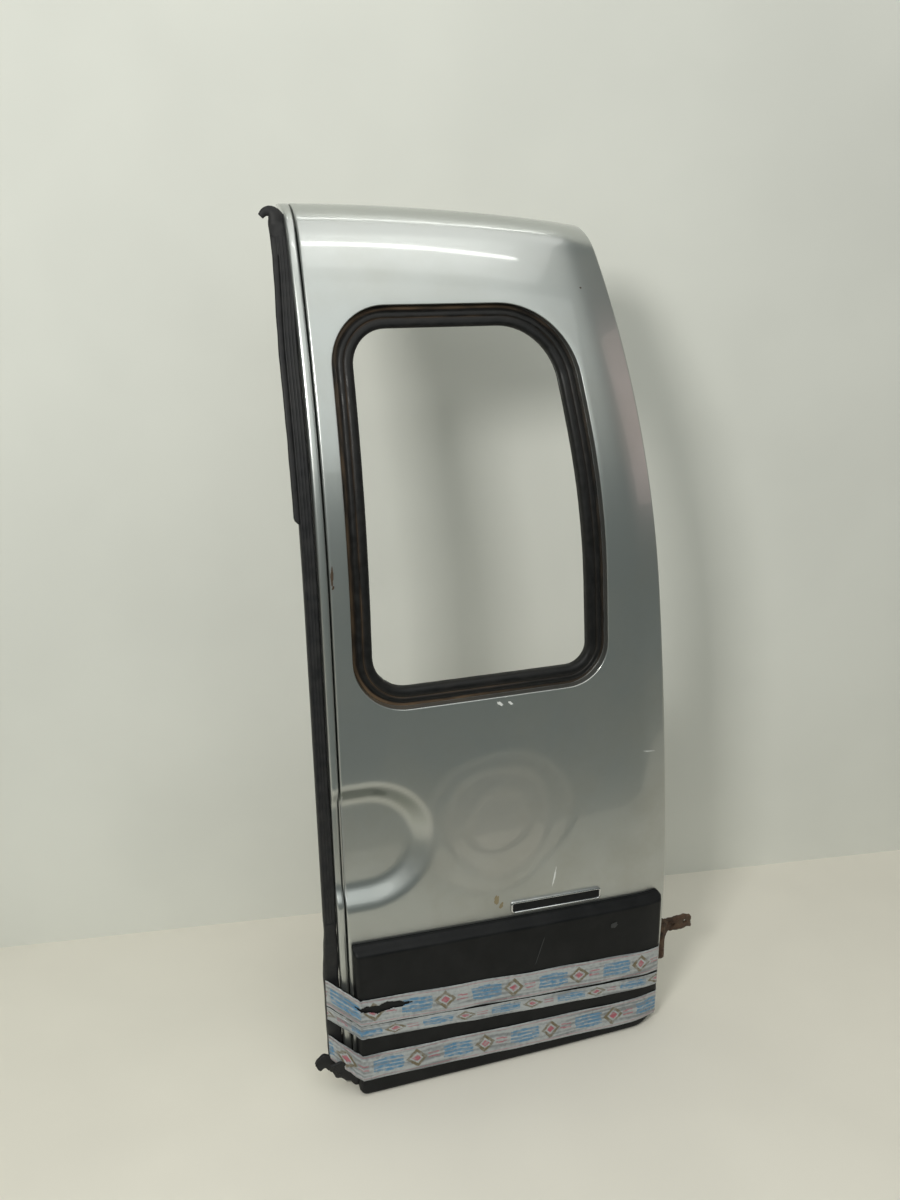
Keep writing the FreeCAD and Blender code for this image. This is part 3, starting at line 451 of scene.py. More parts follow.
windowForm = {
    "left": 0.023, "sill": 0.601, "head": 1.126, "sillWidth": 0.374, "headWidth": 0.324, "bulge": 0.012,
    "step": 0.0015,  # spacing of the outline's points
    "sillLeft": 0.078, "sillRight": 0.060, "headRight": 0.112, "headLeft": 0.075,
    # the rebate's section as (inwards, deeper)
    "rebate": ((0.0006, 0.0001), (0.0011, 0.0005), (0.0014, 0.0011), (0.0016, 0.0018), (0.0018, 0.006),
               (0.0020, 0.0100), (0.0025, 0.0113), (0.0036, 0.0120), (0.010, 0.0120), (0.018, 0.0120),
               (0.0265, 0.0120), (0.0276, 0.0124), (0.0280, 0.0136), (0.0280, 0.0160)),
}


def windowOutline():
    form = windowForm
    right = form["left"] + form["sillWidth"], form["left"] + form["headWidth"]
    return roundedOutline([
        (form["left"], form["sill"], form["sillLeft"]),
        (right[0], form["sill"], form["sillRight"]),
        (sum(right) / 2 + form["bulge"], (form["sill"] + form["head"]) / 2, 4 * (form["head"] - form["sill"])),
        (right[1], form["head"], form["headRight"]),
        (form["left"], form["head"], form["headLeft"]),
    ])


def pressedDepth(x, z):  # the half-round dish at the meeting edge and a shallow dent beside it
    form = skinForm
    away = np.hypot(np.maximum(x - form["dishReach"], 0), z - form["dishHeight"])
    dish = form["dishDepth"] * softRamp((form["dishRadius"] - away) / form["dishBand"], form["dishRound"])
    return dish + form["dentDepth"] * dentMask(x, z)


def dishPaintedShade(x, z):  # painted shade: the dish's upper slope is tinted darker and greener, a painted dark reflection
    form = skinForm
    away = np.hypot(np.maximum(x - form["dishReach"], 0), z - form["dishHeight"])
    slope = np.clip((form["dishRadius"] - away) / form["dishBand"], 0, 1)
    upper = np.clip((z - form["dishHeight"]) / (form["paintedShadeReach"] * form["dishRadius"]), 0, 1)
    return smoothStep(4 * slope * (1 - slope)) * smoothStep(upper)


def dentMask(x, z):  # 1 in the middle of the dent, falling in uneven steps to 0 outside
    form = skinForm
    across, up = (x - form["dentX"]) / form["dentWidth"], (z - form["dentZ"]) / form["dentHeight"]
    away, turn = np.hypot(across, up), np.arctan2(up, across)
    mask = 0
    for reach, start, share in form["dentSteps"]:
        uneven = sum(size * np.sin(waves * (turn + start)) for waves, size in form["dentUneven"])
        mask = mask + share * smoothStep((reach * (1 + uneven) - away) / form["dentRim"])
    return mask


def doorRows(cell):
    flatRows = np.linspace(doorForm["foot"], straightTop, int((straightTop - doorForm["foot"]) / cell))
    turned = np.linspace(0, skinForm["rollEnd"], skinForm["rollRows"])[1:]
    return np.concatenate((flatRows, straightTop + doorForm["rollRadius"] * np.sin(turned)))


def buildSkin():
    form = skinForm
    rows = doorRows(form["cell"])
    edge, radius = edgeAt(rows), form["edgeRadius"]
    crease = edge - doorForm["edgeBand"]
    mainCount = int(doorForm["width"] / form["cell"])
    columns = []  # (x per row, extra depth)
    columns.append((np.zeros_like(rows), radius + form["leftFlange"]))
    columns.append((np.zeros_like(rows), radius + form["flangeStart"] * form["leftFlange"]))
    turns = np.linspace(math.pi / 2, 0, form["filletSteps"] + 1)
    for turn in turns:
        columns.append((np.full_like(rows, radius - radius * math.sin(turn)), radius - radius * math.cos(turn)))
    for share in np.linspace(0, 1, mainCount)[1:]:
        columns.append((radius + share * (crease - form["creaseZone"] - radius), 0.0))
    for share in np.linspace(-1, 1, form["creaseColumns"] + 1)[1:]:
        columns.append((crease + share * form["creaseZone"], 0.0))
    for share in np.linspace(0, 1, form["bandColumns"] + 1)[1:]:
        start = crease + form["creaseZone"]
        columns.append((start + share * (edge - radius - start), 0.0))
    for turn in turns[::-1][1:]:
        columns.append((edge - radius + radius * math.sin(turn), radius - radius * math.cos(turn)))
    columns.append((edge, radius + form["rightFlange"]))
    x = np.stack([c[0] for c in columns], axis=1)
    extra = np.stack([np.broadcast_to(c[1], rows.shape) for c in columns], axis=1)
    v = np.broadcast_to(rows[:, None], x.shape).copy()
    shape = x.shape
    x, v, extra = x.ravel(), v.ravel(), extra.ravel()
    loop, inward = evenLoop(windowOutline(), windowForm["step"])
    flatPoints = np.stack((x, v - dropAt(x, v)), axis=1)
    inside = insideOf(flatPoints, loop)
    faces, edgeUse = [], {}
    rim = set()
    for face in gridFaces(*shape):
        if inside[list(face)].any():
            rim.update(i for i in face if not inside[i])
        else:
            faces.append(face)
    for face in faces:  # the hole's rim edges belong to one kept face
        for a, b in zip(face, face[1:] + face[:1]):
            if a in rim and b in rim:
                key = (min(a, b), max(a, b))
                edgeUse[key] = edgeUse.get(key, 0) + 1
    neighbours = {}
    for (a, b), used in edgeUse.items():
        if used == 1:
            neighbours.setdefault(a, []).append(b)
            neighbours.setdefault(b, []).append(a)
    start = next(iter(neighbours))
    ring, last = [start], None
    while True:  # walk round the hole
        here = ring[-1]
        onward = [n for n in neighbours[here] if n != last]
        if onward[0] == start and len(ring) > 2 or not onward:
            break
        last = here
        ring.append(onward[0])
    nearest = awayFrom(flatPoints[ring], loop)[1]
    x[ring], flatZ = loop[nearest, 0], loop[nearest, 1]
    v[ring] = liftOf(x[ring], flatZ)
    points = onDoor(x, v, pressedDepth(x, v - dropAt(x, v)) + extra)
    points = [tuple(p) for p in points]
    previous = list(ring)
    for inset, deeper in windowForm["rebate"]:  # rebate rows, one behind the other
        flatRing = loop[nearest] + inward[nearest] * inset
        ringPoints = onDoor(flatRing[:, 0], liftOf(flatRing[:, 0], flatRing[:, 1]), deeper)
        first = len(points)
        points.extend(tuple(p) for p in ringPoints)
        row = list(range(first, first + len(ring)))
        for k in range(len(ring)):
            on = (k + 1) % len(ring)
            faces.append((previous[k], previous[on], row[on], row[k]))
        previous = row
    skin = makePiece("doorSkin", points, faces, paint, outwards, form["smoothAngle"])
    places = np.array([v.co for v in skin.data.vertices])
    x, z = places[:, 0] - seamX, places[:, 2] - footZ
    # painted reflection of the floor, paler and warmer in the dent's middle
    setValues(skin, "wearPatchAndDentReflection", form["dentReflectionTint"] * dentMask(x, z))
    # painted shade, darker on the dish's upper slope
    setValues(skin, "paintedDishShade", form["paintedShadeTint"] * dishPaintedShade(x, z))
    thicken(skin, form["sheet"])
    settle(skin, "door", "silver_paint", "outer_skin")
    return skin


skin = buildSkin()
print("skin", len(skin.data.polygons), "faces")

# Black bead and rubber lip that the glass left in the rebate.
beadForm = {
    "step": 0.004,
    # closed section as (inwards, deeper, stain)
    "section": ((0.0022, 0.0118, 0.4), (0.0032, 0.0108, 0.9), (0.0052, 0.0103, 1.0), (0.0068, 0.0106, 0.8),
                (0.0080, 0.0098, 0.2), (0.0092, 0.0072, 0.0), (0.0112, 0.0056, 0.0), (0.0140, 0.0050, 0.0),
                (0.0160, 0.0056, 0.15), (0.0170, 0.0066, 0.5), (0.0180, 0.0056, 0.1), (0.0205, 0.0047, 0.0),
                (0.0240, 0.0048, 0.0), (0.0272, 0.0060, 0.0), (0.0292, 0.0084, 0.0), (0.0300, 0.0115, 0.0),
                (0.0300, 0.0170, 0.0), (0.0297, 0.0192, 0.0), (0.0290, 0.0198, 0.0), (0.0283, 0.0190, 0.0),
                (0.0283, 0.0150, 0.0), (0.0284, 0.0119, 0.0)),
    "wobble": 0.0005, "wobbleScale": 60, "wobbleSeed": 2.0, "wobbleStep": 0.003,
    "patchScale": 35, "patchSeed": 7.0, "patchStep": 0.01, "sillTop": 0.72, "sillBlend": 0.12,
    "cleanSide": 0.30, "cleanBlend": 0.08, "cleanLeast": 0.25, "stainBase": 0.60, "stainPatch": 0.9, "stainSill": 0.35,
}


def buildBead():
    form = beadForm
    loop, inward = evenLoop(windowOutline(), form["step"])
    rows, stains = [], []
    for k, (inset, deeper, stain) in enumerate(form["section"]):
        flatRing = loop + inward * inset
        x, z = flatRing.T
        sway = wanderRow(flatRing, k * form["wobbleStep"], form["wobbleScale"], form["wobbleSeed"]) * form["wobble"]
        patch = wanderRow(flatRing, k * form["patchStep"], form["patchScale"], form["patchSeed"])
        rows.append(onDoor(x, liftOf(x, z), deeper + sway))
        lower = np.clip((form["sillTop"] - z) / form["sillBlend"], 0, 1)  # more dirt gathers along the sill
        leftward = np.clip((form["cleanSide"] - x) / form["cleanBlend"], form["cleanLeast"], 1)
        amount = form["stainBase"] + form["stainPatch"] * patch + form["stainSill"] * lower
        stains.append(np.clip(stain * leftward * amount, 0, 1))
    faces = gridFaces(len(rows), len(loop), closedCols=True, closedRows=True)
    bead = makePiece("windowBead", np.concatenate(rows), faces, glue, smoothAngle=70)
    setValues(bead, "rustStain", np.concatenate(stains))
    settle(bead, "door", "adhesive", "window_bead")


buildBead()
print("window bead ready")


def sweepRows(name, section, rows, material, shift, closed=True):  # (x, depth) pairs, carried up the door
    points = []
    for v in rows:
        for x, depth in section:
            aside, deeper = shift(v, x, depth)
            points.append(onDoor(x + aside, v, depth + deeper))
    faces = tubeFaces(len(rows), len(section)) if closed else gridFaces(len(rows), len(section))
    return makePiece(name, points, faces, material, None if closed else outwards, 50)


# Painted strip beside the skin's edge, a little back from it. The dish runs on across it.
railForm = {
    "sheet": 0.0010, "cell": 0.006, "frontEnd": 0.012001, "dishSlack": 0.004,
    "section": ((0.0012, 0.0160), (0.0002, 0.0158), (-0.0010, 0.0150), (-0.0014, 0.0110), (-0.0016, 0.0070),
                (-0.0022, 0.0052), (-0.0036, 0.0044), (-0.0060, 0.0041), (-0.0084, 0.0042), (-0.0106, 0.0046),
                (-0.0120, 0.0056), (-0.0128, 0.0076), (-0.0130, 0.0120), (-0.0130, 0.0360), (-0.0125, 0.0374),
                (-0.0110, 0.0380), (0.0010, 0.0380)),
}


def railShift(v, x, depth):
    dish = max(float(pressedDepth(np.float64(0), np.float64(v))) - railForm["dishSlack"], 0)
    return 0, dish if depth < railForm["frontEnd"] else 0


rail = sweepRows("meetingStrip", railForm["section"], doorRows(railForm["cell"]), paint, railShift, closed=False)
thicken(rail, railForm["sheet"])
settle(rail, "door", "silver_paint", "meeting_rail")
print("meeting strip ready")

# Rubber seal on the strip: a core, and ribs laid along it.
sealForm = {
    "left": -0.0310, "right": -0.0135, "front": 0.0130, "back": 0.0280, "radius": 0.003, "low": 0.282, "cell": 0.008,
    "ribCount": 4, "ribRadius": 0.0018, "ribPitch": 0.0040, "ribSides": 10, "ribFirst": -0.0284, "ribDepth": 0.0143,
    "lean": 0.0055, "leanFrom": 1.06,
}


def makeRibTree(material):  # copies of one path, side by side, each given a round section
    tree = bpy.data.node_groups.new("sealRibs", "GeometryNodeTree")
    for way in ("INPUT", "OUTPUT"):
        tree.interface.new_socket("Geometry", in_out=way, socket_type="NodeSocketGeometry")
    for label, kind, value in (("Ribs", "NodeSocketInt", 3), ("Rib Radius", "NodeSocketFloat", 0.003),
                               ("Rib Pitch", "NodeSocketFloat", 0.006), ("Sides", "NodeSocketInt", 10)):
        tree.interface.new_socket(label, in_out="INPUT", socket_type=kind).default_value = value
    given = tree.nodes.new("NodeGroupInput").outputs
    copies = addNode(tree, "GeometryNodeDuplicateElements", {
        "Geometry": given["Geometry"], "Amount": given["Ribs"]}, domain="SPLINE").outputs
    aside = mathNode(tree, "MULTIPLY", copies["Duplicate Index"], given["Rib Pitch"])
    offset = addNode(tree, "ShaderNodeCombineXYZ", {0: aside})
    moved = addNode(tree, "GeometryNodeSetPosition", {"Geometry": copies["Geometry"], "Offset": offset.outputs[0]})
    section = addNode(tree, "GeometryNodeCurvePrimitiveCircle", {
        "Resolution": given["Sides"], "Radius": given["Rib Radius"]})
    swept = addNode(tree, "GeometryNodeCurveToMesh", {
        "Curve": moved.outputs["Geometry"], "Profile Curve": section.outputs["Curve"], "Fill Caps": True})
    smooth = addNode(tree, "GeometryNodeSetShadeSmooth", {0: swept.outputs["Mesh"]})
    real = addNode(tree, "GeometryNodeRealizeInstances", {0: smooth.outputs[0]})
    dressed = addNode(tree, "GeometryNodeSetMaterial", {0: real.outputs[0], "Material": material})
    feed(tree, tree.nodes.new("NodeGroupOutput").inputs[0], dressed.outputs[0])
    return tree


def growOnPath(name, tree, path, values):  # runs a tree on a path and keeps the plain mesh
    curve = bpy.data.curves.new(name + "Path", "CURVE")
    curve.dimensions = "3D"
    line = curve.splines.new("POLY")
    line.points.add(len(path) - 1)
    for spot, place in zip(line.points, path):
        spot.co = (*place, 1)
    holder = addObject(name + "Path", curve)
    grown = holder.modifiers.new(name, "NODES")
    grown.node_group = tree
    for item in tree.interface.items_tree:
        if item.in_out == "INPUT" and item.name in values:
            grown[item.identifier] = values[item.name]
    depsgraph = bpy.context.evaluated_depsgraph_get()
    mesh = bpy.data.meshes.new_from_object(holder.evaluated_get(depsgraph), depsgraph=depsgraph)
    mesh.name = name
    holder.modifiers.remove(grown)
    bpy.data.objects.remove(holder)
    bpy.data.curves.remove(curve)
    work = bmesh.new()
    work.from_mesh(mesh)
    bmesh.ops.recalc_face_normals(work, faces=work.faces)
    work.to_mesh(mesh)
    work.free()
    return addObject(name, mesh)


def roundedSection(form, perArc=4):
    left, right, front, back, radius = (form[n] for n in ("left", "right", "front", "back", "radius"))
    corners = [(left, front, radius), (right, front, radius), (right, back, radius), (left, back, radius)]
    return roundedOutline(corners, perArc)


def sealRows(low, high, cell):
    return np.linspace(low, high, int((high - low) / cell))


def sealLean(v):  # the upper end is pulled towards the seam
    return sealForm["lean"] * smoothStep((v - sealForm["leanFrom"]) / (straightTop - sealForm["leanFrom"]))


def buildSeal():
    form = sealForm
    rows = sealRows(form["low"], straightTop, form["cell"])
    core = sweepRows("sealCore", roundedSection(form), rows, rubber, lambda v, x, depth: (sealLean(v), 0))
    settle(core, "door", "seal_rubber", "meeting_seal")
    path = [onDoor(form["ribFirst"] + sealLean(v), v, form["ribDepth"]) for v in rows]
    ribs = growOnPath("sealRibs", makeRibTree(rubber), path, {
        "Ribs": form["ribCount"], "Rib Radius": form["ribRadius"], "Rib Pitch": form["ribPitch"],
        "Sides": form["ribSides"]})
    settle(ribs, "door", "seal_rubber", "meeting_seal")


buildSeal()

# Torn outer lip: a thin ragged fin along the upper half.
lipForm = {
    "left": -0.0380, "right": -0.0300, "depth": 0.0140, "low": 0.864, "cell": 0.004, "columns": 5, "sheet": 0.0018,
    "bow": 0.0012, "fray": 0.0005, "frayScale": 40, "fraySeed": 4.0, "tear": 0.006, "tornShare": 0.35,
}


def buildLip():
    form = lipForm
    rows = sealRows(form["low"], straightTop, form["cell"])
    points = []
    for v in rows:
        fray = form["fray"] * wander(0, v, 0, form["frayScale"], form["fraySeed"])
        whole = smoothStep((v - form["low"]) / form["tear"])  # narrower where it is torn off
        reach = (form["left"] - form["right"]) * (form["tornShare"] + (1 - form["tornShare"]) * whole) + fray
        for share in np.linspace(0, 1, form["columns"]):
            depth = form["depth"] - form["bow"] * math.sin(share * math.pi)
            points.append(onDoor(form["right"] + reach * share + sealLean(v), v, depth))
    lip = makePiece("sealLip", points, gridFaces(len(rows), form["columns"]), rubber, outwards, 60)
    thicken(lip, form["sheet"])
    settle(lip, "door", "seal_rubber", "meeting_seal_lip")


buildLip()

# Curled upper end of the seal.
hookForm = {
    "path": ((-0.0258, 1.186), (-0.0258, 1.206), (-0.0262, 1.2200), (-0.0284, 1.2315), (-0.0340, 1.2375),
             (-0.0408, 1.2368), (-0.0460, 1.2318)),
    "widths": (0.0246, 0.0246, 0.0240, 0.0200, 0.0140, 0.0104, 0.0080),
    "thick": 0.0150, "depth": 0.0202, "sides": 16, "perSpan": 4, "ribs": 3, "ribHeight": 0.05,
    "faceX": -0.02, "faceTop": 1.2230,  # where the door's face is measured
}


def throughPoints(points, perSpan):  # a smooth line through the given points
    points = np.array(points)
    padded = np.vstack((2 * points[0] - points[1], points, 2 * points[-1] - points[-2]))
    line = []
    for i in range(1, len(padded) - 2):
        a, b, c, d = padded[i - 1 : i + 3]
        for k in range(perSpan):
            t = k / perSpan
            bend, twist = 2 * a - 5 * b + 4 * c - d, 3 * b - a - 3 * c + d
            line.append(0.5 * (2 * b + (c - a) * t + bend * t**2 + twist * t**3))
    line.append(points[-1])
    return np.array(line)


def buildHook():
    form = hookForm
    line = throughPoints([(*spot, width) for spot, width in zip(form["path"], form["widths"])], form["perSpan"])
    points = []
    for k, (x, v, width) in enumerate(line):
        ahead = line[min(k + 1, len(line) - 1)][:2] - line[max(k - 1, 0)][:2]
        ahead /= np.linalg.norm(ahead)
        side = np.array((ahead[1], -ahead[0]))
        base = faceDepth(np.float64(form["faceX"]), np.float64(min(v, form["faceTop"])))
        for turn in np.linspace(0, 2 * math.pi, form["sides"], endpoint=False):
            rib = 1 + form["ribHeight"] * math.cos(form["ribs"] * turn)
            out = np.array((x + sealForm["lean"], v)) + side * width / 2 * math.cos(turn) * rib
            deep = form["depth"] + form["thick"] / 2 * math.sin(turn) * width / form["widths"][0]
            points.append((seamX + out[0], faceY + base + deep, footZ + out[1]))
    hook = makePiece("sealHook", points, tubeFaces(len(line), form["sides"]), rubber)
    settle(hook, "door", "seal_rubber", "meeting_seal_hook")


buildHook()

# Wider moulded lower end of the seal, with a ragged tab.
footForm = {
    "left": -0.0352, "right": -0.0135, "front": 0.0118, "back": 0.0280, "low": 0.030, "high": 0.284, "cell": 0.006,
    "step": 0.193, "stepBlend": 0.09, "narrow": 0.0040, "narrowSide": -0.024, "radius": 0.0045,
    "lumps": 0.0012, "lumpScale": 45, "lumpSeed": 1.5,
    "tab": ((-0.057, 0.049), (-0.052, 0.058), (-0.045, 0.062), (-0.036, 0.060), (-0.026, 0.058), (-0.016, 0.050),
            (-0.014, 0.040), (-0.024, 0.036), (-0.031, 0.042), (-0.037, 0.036), (-0.043, 0.042), (-0.050, 0.038)),
    "tabDepth": 0.0130, "tabThick": 0.0060,
    "flap": ((-0.036, 0.052), (-0.016, 0.056), (0.004, 0.052), (0.010, 0.030), (0.007, 0.013), (-0.001, 0.011),
             (-0.007, 0.021), (-0.014, 0.023), (-0.020, 0.030), (-0.029, 0.033)),
    "flapDepth": -0.0010, "flapThick": 0.0050, "perSpan": 6, "outlineStep": 0.0022,
    "layers": ((0.0, 0.5), (0.0002, 0.2), (0.0016, -0.1), (0.004, -0.35), (0.007, -0.42)),  # (inwards, level)
    "fray": 0.0012, "frayScale": 110, "fraySeed": 6.0, "flapLumps": 0.0018, "flapScale": 60, "flapSeed": 3.0,
}


def footShift(v, x, depth):  # narrower above the step, with an uneven surface
    form = footForm
    narrower = form["narrow"] * smoothStep((v - form["step"]) / form["stepBlend"]) if x < form["narrowSide"] else 0
    lump = form["lumps"] * wander(x, v, depth, form["lumpScale"], form["lumpSeed"])
    return narrower + lump, lump


def buildFoot():
    form = footForm
    rows = sealRows(form["low"], form["high"], form["cell"])
    foot = sweepRows("sealFoot", roundedSection(form), rows, rubber, footShift)
    settle(foot, "door", "seal_rubber", "meeting_seal_foot")
    layers = form["layers"] + tuple((inset, -level) for inset, level in form["layers"][::-1])
    for name in ("tab", "flap"):
        loop, inward = evenLoop(throughPoints(form[name] + form[name][:1], form["perSpan"])[:-1], form["outlineStep"])
        points = []
        for inset, level in layers:
            for (x, z), n in zip(loop, inward):
                move = inset + form["fray"] * wander(x, z, 0, form["frayScale"], form["fraySeed"])
                px, pz = x + n[0] * move, z + n[1] * move
                lump = form["flapLumps"] * wander(px, pz, level, form["flapScale"], form["flapSeed"])
                points.append(onDoor(px, pz, form[name + "Depth"] + form[name + "Thick"] * level + lump))
        faces = tubeFaces(len(layers), len(loop))
        piece = makePiece("seal" + name.title(), points, faces, rubber, smoothAngle=60)
        settle(piece, "door", "seal_rubber", "meeting_seal_foot")


buildFoot()
print("seal ready")

# Black cover over the door's foot, standing proud, with a ledge along its top.
claddingForm = {
    "left": 0.004, "height": 0.253, "fall": 0.016, "rightGap": 0.012, "proud": 0.019, "corner": 0.042,
    "cell": 0.0026, "ledge": 0.0115, "ledgeFoot": 0.25, "ledgeGain": 1.06, "round": 0.0055, "sideFoot": 0.35,
    "lowLeft": 0.25, "topRight": 0.2, "topLeft": 0.003,  # shares of the corner's radius, and a radius
    "sheet": 0.0028, "wave": 0.0006, "waveScale": 9, "waveSeed": 5.0, "outlineStep": 0.0012, "margin": 0.002,
    "merge": 0.00005, "skinGap": 0.0004,
}


def claddingRight():
    form = claddingForm
    return float(edgeAt(np.float64(form["height"] / 2))) - form["rightGap"]


def claddingTop(x):
    form = claddingForm
    return form["height"] - form["fall"] * (x - form["left"]) / (claddingRight() - form["left"])


def claddingStand(x, z, away):  # how far the cover stands out at a distance from its rim
    form = claddingForm
    side = 1 - (1 - np.clip(away / form["round"], 0, 1)) ** 2
    ledge = smoothStep(np.clip((claddingTop(x) - z) / form["ledge"], 0, 1) * form["ledgeGain"])
    ledge = form["ledgeFoot"] + (1 - form["ledgeFoot"]) * ledge
    return form["proud"] * np.minimum(form["sideFoot"] + (1 - form["sideFoot"]) * np.sqrt(side), ledge)


def buildCladding():
    form = claddingForm
    left, right, top, margin, corner = form["left"], claddingRight(), form["height"], form["margin"], form["corner"]
    outline = roundedOutline([
        (left, 0, corner * form["lowLeft"]), (right, 0, corner),
        (right, top - form["fall"], corner * form["topRight"]), (left, top, form["topLeft"])])
    loop = evenLoop(outline, form["outlineStep"])[0]
    columns = np.linspace(left - margin, right + margin, int((right - left) / form["cell"]))
    rows = np.linspace(-margin, 1, int(top / form["cell"]))
    x = np.broadcast_to(columns[None, :], (len(rows), len(columns))).ravel().copy()
    z = (rows[:, None] * (claddingTop(columns) + margin)[None, :]).ravel()
    flatPoints = np.stack((x, z), axis=1)
    inside = insideOf(flatPoints, loop)
    away, nearest = awayFrom(flatPoints, loop)
    faces = [face for face in gridFaces(len(rows), len(columns)) if inside[list(face)].any()]
    rim = np.array(sorted({i for face in faces for i in face if not inside[i]}))
    x[rim], z[rim] = loop[nearest[rim], 0], loop[nearest[rim], 1]
    away[rim] = 0
    wave = wanderRow(np.stack((x, z), axis=1), 0, form["waveScale"], form["waveSeed"]) * form["wave"]
    points = onDoor(x, z, wave - claddingStand(x, z, away))
    work = bmesh.new()
    verts = [work.verts.new(p) for p in points]
    for face in faces:
        work.faces.new([verts[i] for i in face])
    bmesh.ops.delete(work, geom=[v for v in work.verts if not v.link_faces], context="VERTS")
    bmesh.ops.remove_doubles(work, verts=work.verts, dist=form["merge"])
    border = [tuple(e.verts) for e in work.edges if e.is_boundary]
    turned = {}
    for vert in (v for pair in border for v in pair):  # the rim turns back to the skin
        if vert not in turned:
            deep = float(faceDepth(np.float64(vert.co.x - seamX), np.float64(vert.co.z - footZ)))
            turned[vert] = work.verts.new((vert.co.x, faceY + deep - form["skinGap"], vert.co.z))
    for first, second in border:
        work.faces.new((turned[first], first, second, turned[second]))
    mesh = bpy.data.meshes.new("coverShape")
    work.to_mesh(mesh)
    work.free()
    points, faces = [v.co for v in mesh.vertices], [tuple(p.vertices) for p in mesh.polygons]
    cover = makePiece("lowerCover", points, faces, plastic, outwards, 50)
    bpy.data.meshes.remove(mesh)
    thicken(cover, form["sheet"])
    settle(cover, "door", "cladding_plastic", "lower_cladding")


buildCladding()
print("lower cover ready")

# Packing tape: three turns, pulled from the cover's corner across to the seal, crumpled on the way.
tapeForm = {
    "cell": 0.0012, "overlap": 0.0008, "sheet": 0.00025, "sealX": -0.0345, "sealDepth": 0.0095, "steps": 60,
    "sealEnd": ((0.002, 0.014), (0.0, 0.003), (0.003, 0.0)),  # (right of the seal's side, deeper)
    "corner": ((0.0012, 0.003, 0.1), (0.005, 0.0, 0.0)),  # (right of the cover's end, deeper, share of the lift)
    "rightEnd": ((-0.0018, 0.002), (0.0006, 0.007), (0.0012, 0.022)),  # (past the cover's end, deeper)
    "runs": (  # name, node, width, top at the corner, fall to the right, lift at the seal, seed
        ("tapeLowerWrap", "tape_lower_wrap", 0.044, 0.074, 0.016, 0.024, 1.0),
        ("tapeMiddleWrap", "tape_middle_wrap", 0.022, 0.126, 0.031, 0.022, 2.0),
        ("tapeUpperWrap", "tape_upper_wrap", 0.044, 0.171, 0.028, 0.022, 3.0)),
    "tear": {"seed": 3.0, "along": 0.039, "half": 0.043, "across": 0.0165, "high": 0.0064, "ragged": (0.9, 95, 5.0)},
}
creaseForm = {  # ripples are (size, scale, seed)
    "measureAt": 0.1, "looseAt": 0.010, "looseReach": 0.026, "sway": (0.0016, 14, 0), "looseSway": (0.0016, 90, 0),
    "looseLine": 2, "stretch": 9, "pitch": 150, "drift": (1.5, 6, 0), "seed": 11, "fine": (1.0, 190, 17),
    "height": 0.0017, "ridge": 0.5, "ridgeRise": 0.9, "fineRise": 0.35, "fineTight": 0.4, "looseRise": 2.0,
    "shade": 2.4, "shadeFrom": 0.15, "fineShade": 0.5, "looseShade": 0.3,
}
printForm = {
    "film": (0.36, 0.38, 0.385), "shadow": (0.13, 0.14, 0.15), "red": (0.34, 0.07, 0.10), "blue": (0.06, 0.19, 0.33),
    "gold": (0.12, 0.09, 0.04), "width": 0.044, "repeat": 0.108, "seedShift": 0.031, "crumpleShade": 0.75,
    "alongSway": (0.0022, 70, 3), "acrossSway": (0.0016, 60, 5), "worn": 0.80, "wearPatchAndDentReflection": (0.7, 130, 31),
    "wornFine": (0.3, 420, 37), "wornRange": (0.15, 0.95), "edgeLines": ((0.0026, 0.0042), (0.0066, 0.0074)),
    "edgeStrength": 0.6, "bar": (0.004, 0.050), "barMiddle": 0.027, "barHalf": 0.0125, "barTaper": 0.1,
    "stripe": 0.0016, "stripeFrom": 0.02, "stripeEvery": 4, "lozengeAt": 0.070, "lozengeLong": 0.017,
    "lozengeHigh": 0.0165, "lozengeRim": 0.62, "lozengeCore": 0.40, "dash": (0.088, 0.105),
    "dashHeights": (0.002, 0.0046), "dashStrength": 0.8,
}


def printWithCreaseShade(s, t, paintedCreaseShade, seed):  # plain bars, lozenges and edge lines, with painted shade in the creases, s along and t across, in metres
    form = printForm
    film, shadow, red, blue, gold = (np.array(form[n]) for n in ("film", "shadow", "red", "blue", "gold"))
    # painted shade: the film darkens toward the shadow colour where it is creased
    colour = film + (shadow - film) * form["crumpleShade"] * paintedCreaseShade
    along = (s + form["seedShift"] * seed + ripple(*form["alongSway"], s, t, seed)) % form["repeat"]
    centred = t - form["width"] / 2 + ripple(*form["acrossSway"], s, t, seed)
    worn = form["worn"] + ripple(*form["wearPatchAndDentReflection"], s, t, seed) + ripple(*form["wornFine"], s, t, seed)
    strength = float(np.clip(worn, *form["wornRange"]))
    fromEdge = min(t, form["width"] - t)
    if any(low < fromEdge < high for low, high in form["edgeLines"]):
        return colour + (red - colour) * form["edgeStrength"] * strength
    inBar = form["bar"][0] < along < form["bar"][1]
    barHalf = form["barHalf"] - form["barTaper"] * abs(along - form["barMiddle"])
    stripe = int((centred + form["stripeFrom"]) / form["stripe"]) % form["stripeEvery"]
    if inBar and abs(centred) < barHalf and stripe != 0:
        return colour + (blue - colour) * strength
    lozenge = abs(along - form["lozengeAt"]) / form["lozengeLong"] + abs(centred) / form["lozengeHigh"]
    if lozenge < 1:
        ink = gold if lozenge > form["lozengeRim"] else red if lozenge < form["lozengeCore"] else film
        return colour + (ink - colour) * strength
    inDash = form["dash"][0] < along < form["dash"][1]
    if inDash and form["dashHeights"][0] < abs(centred) < form["dashHeights"][1]:
        return colour + (red - colour) * form["dashStrength"] * strength
    return colour


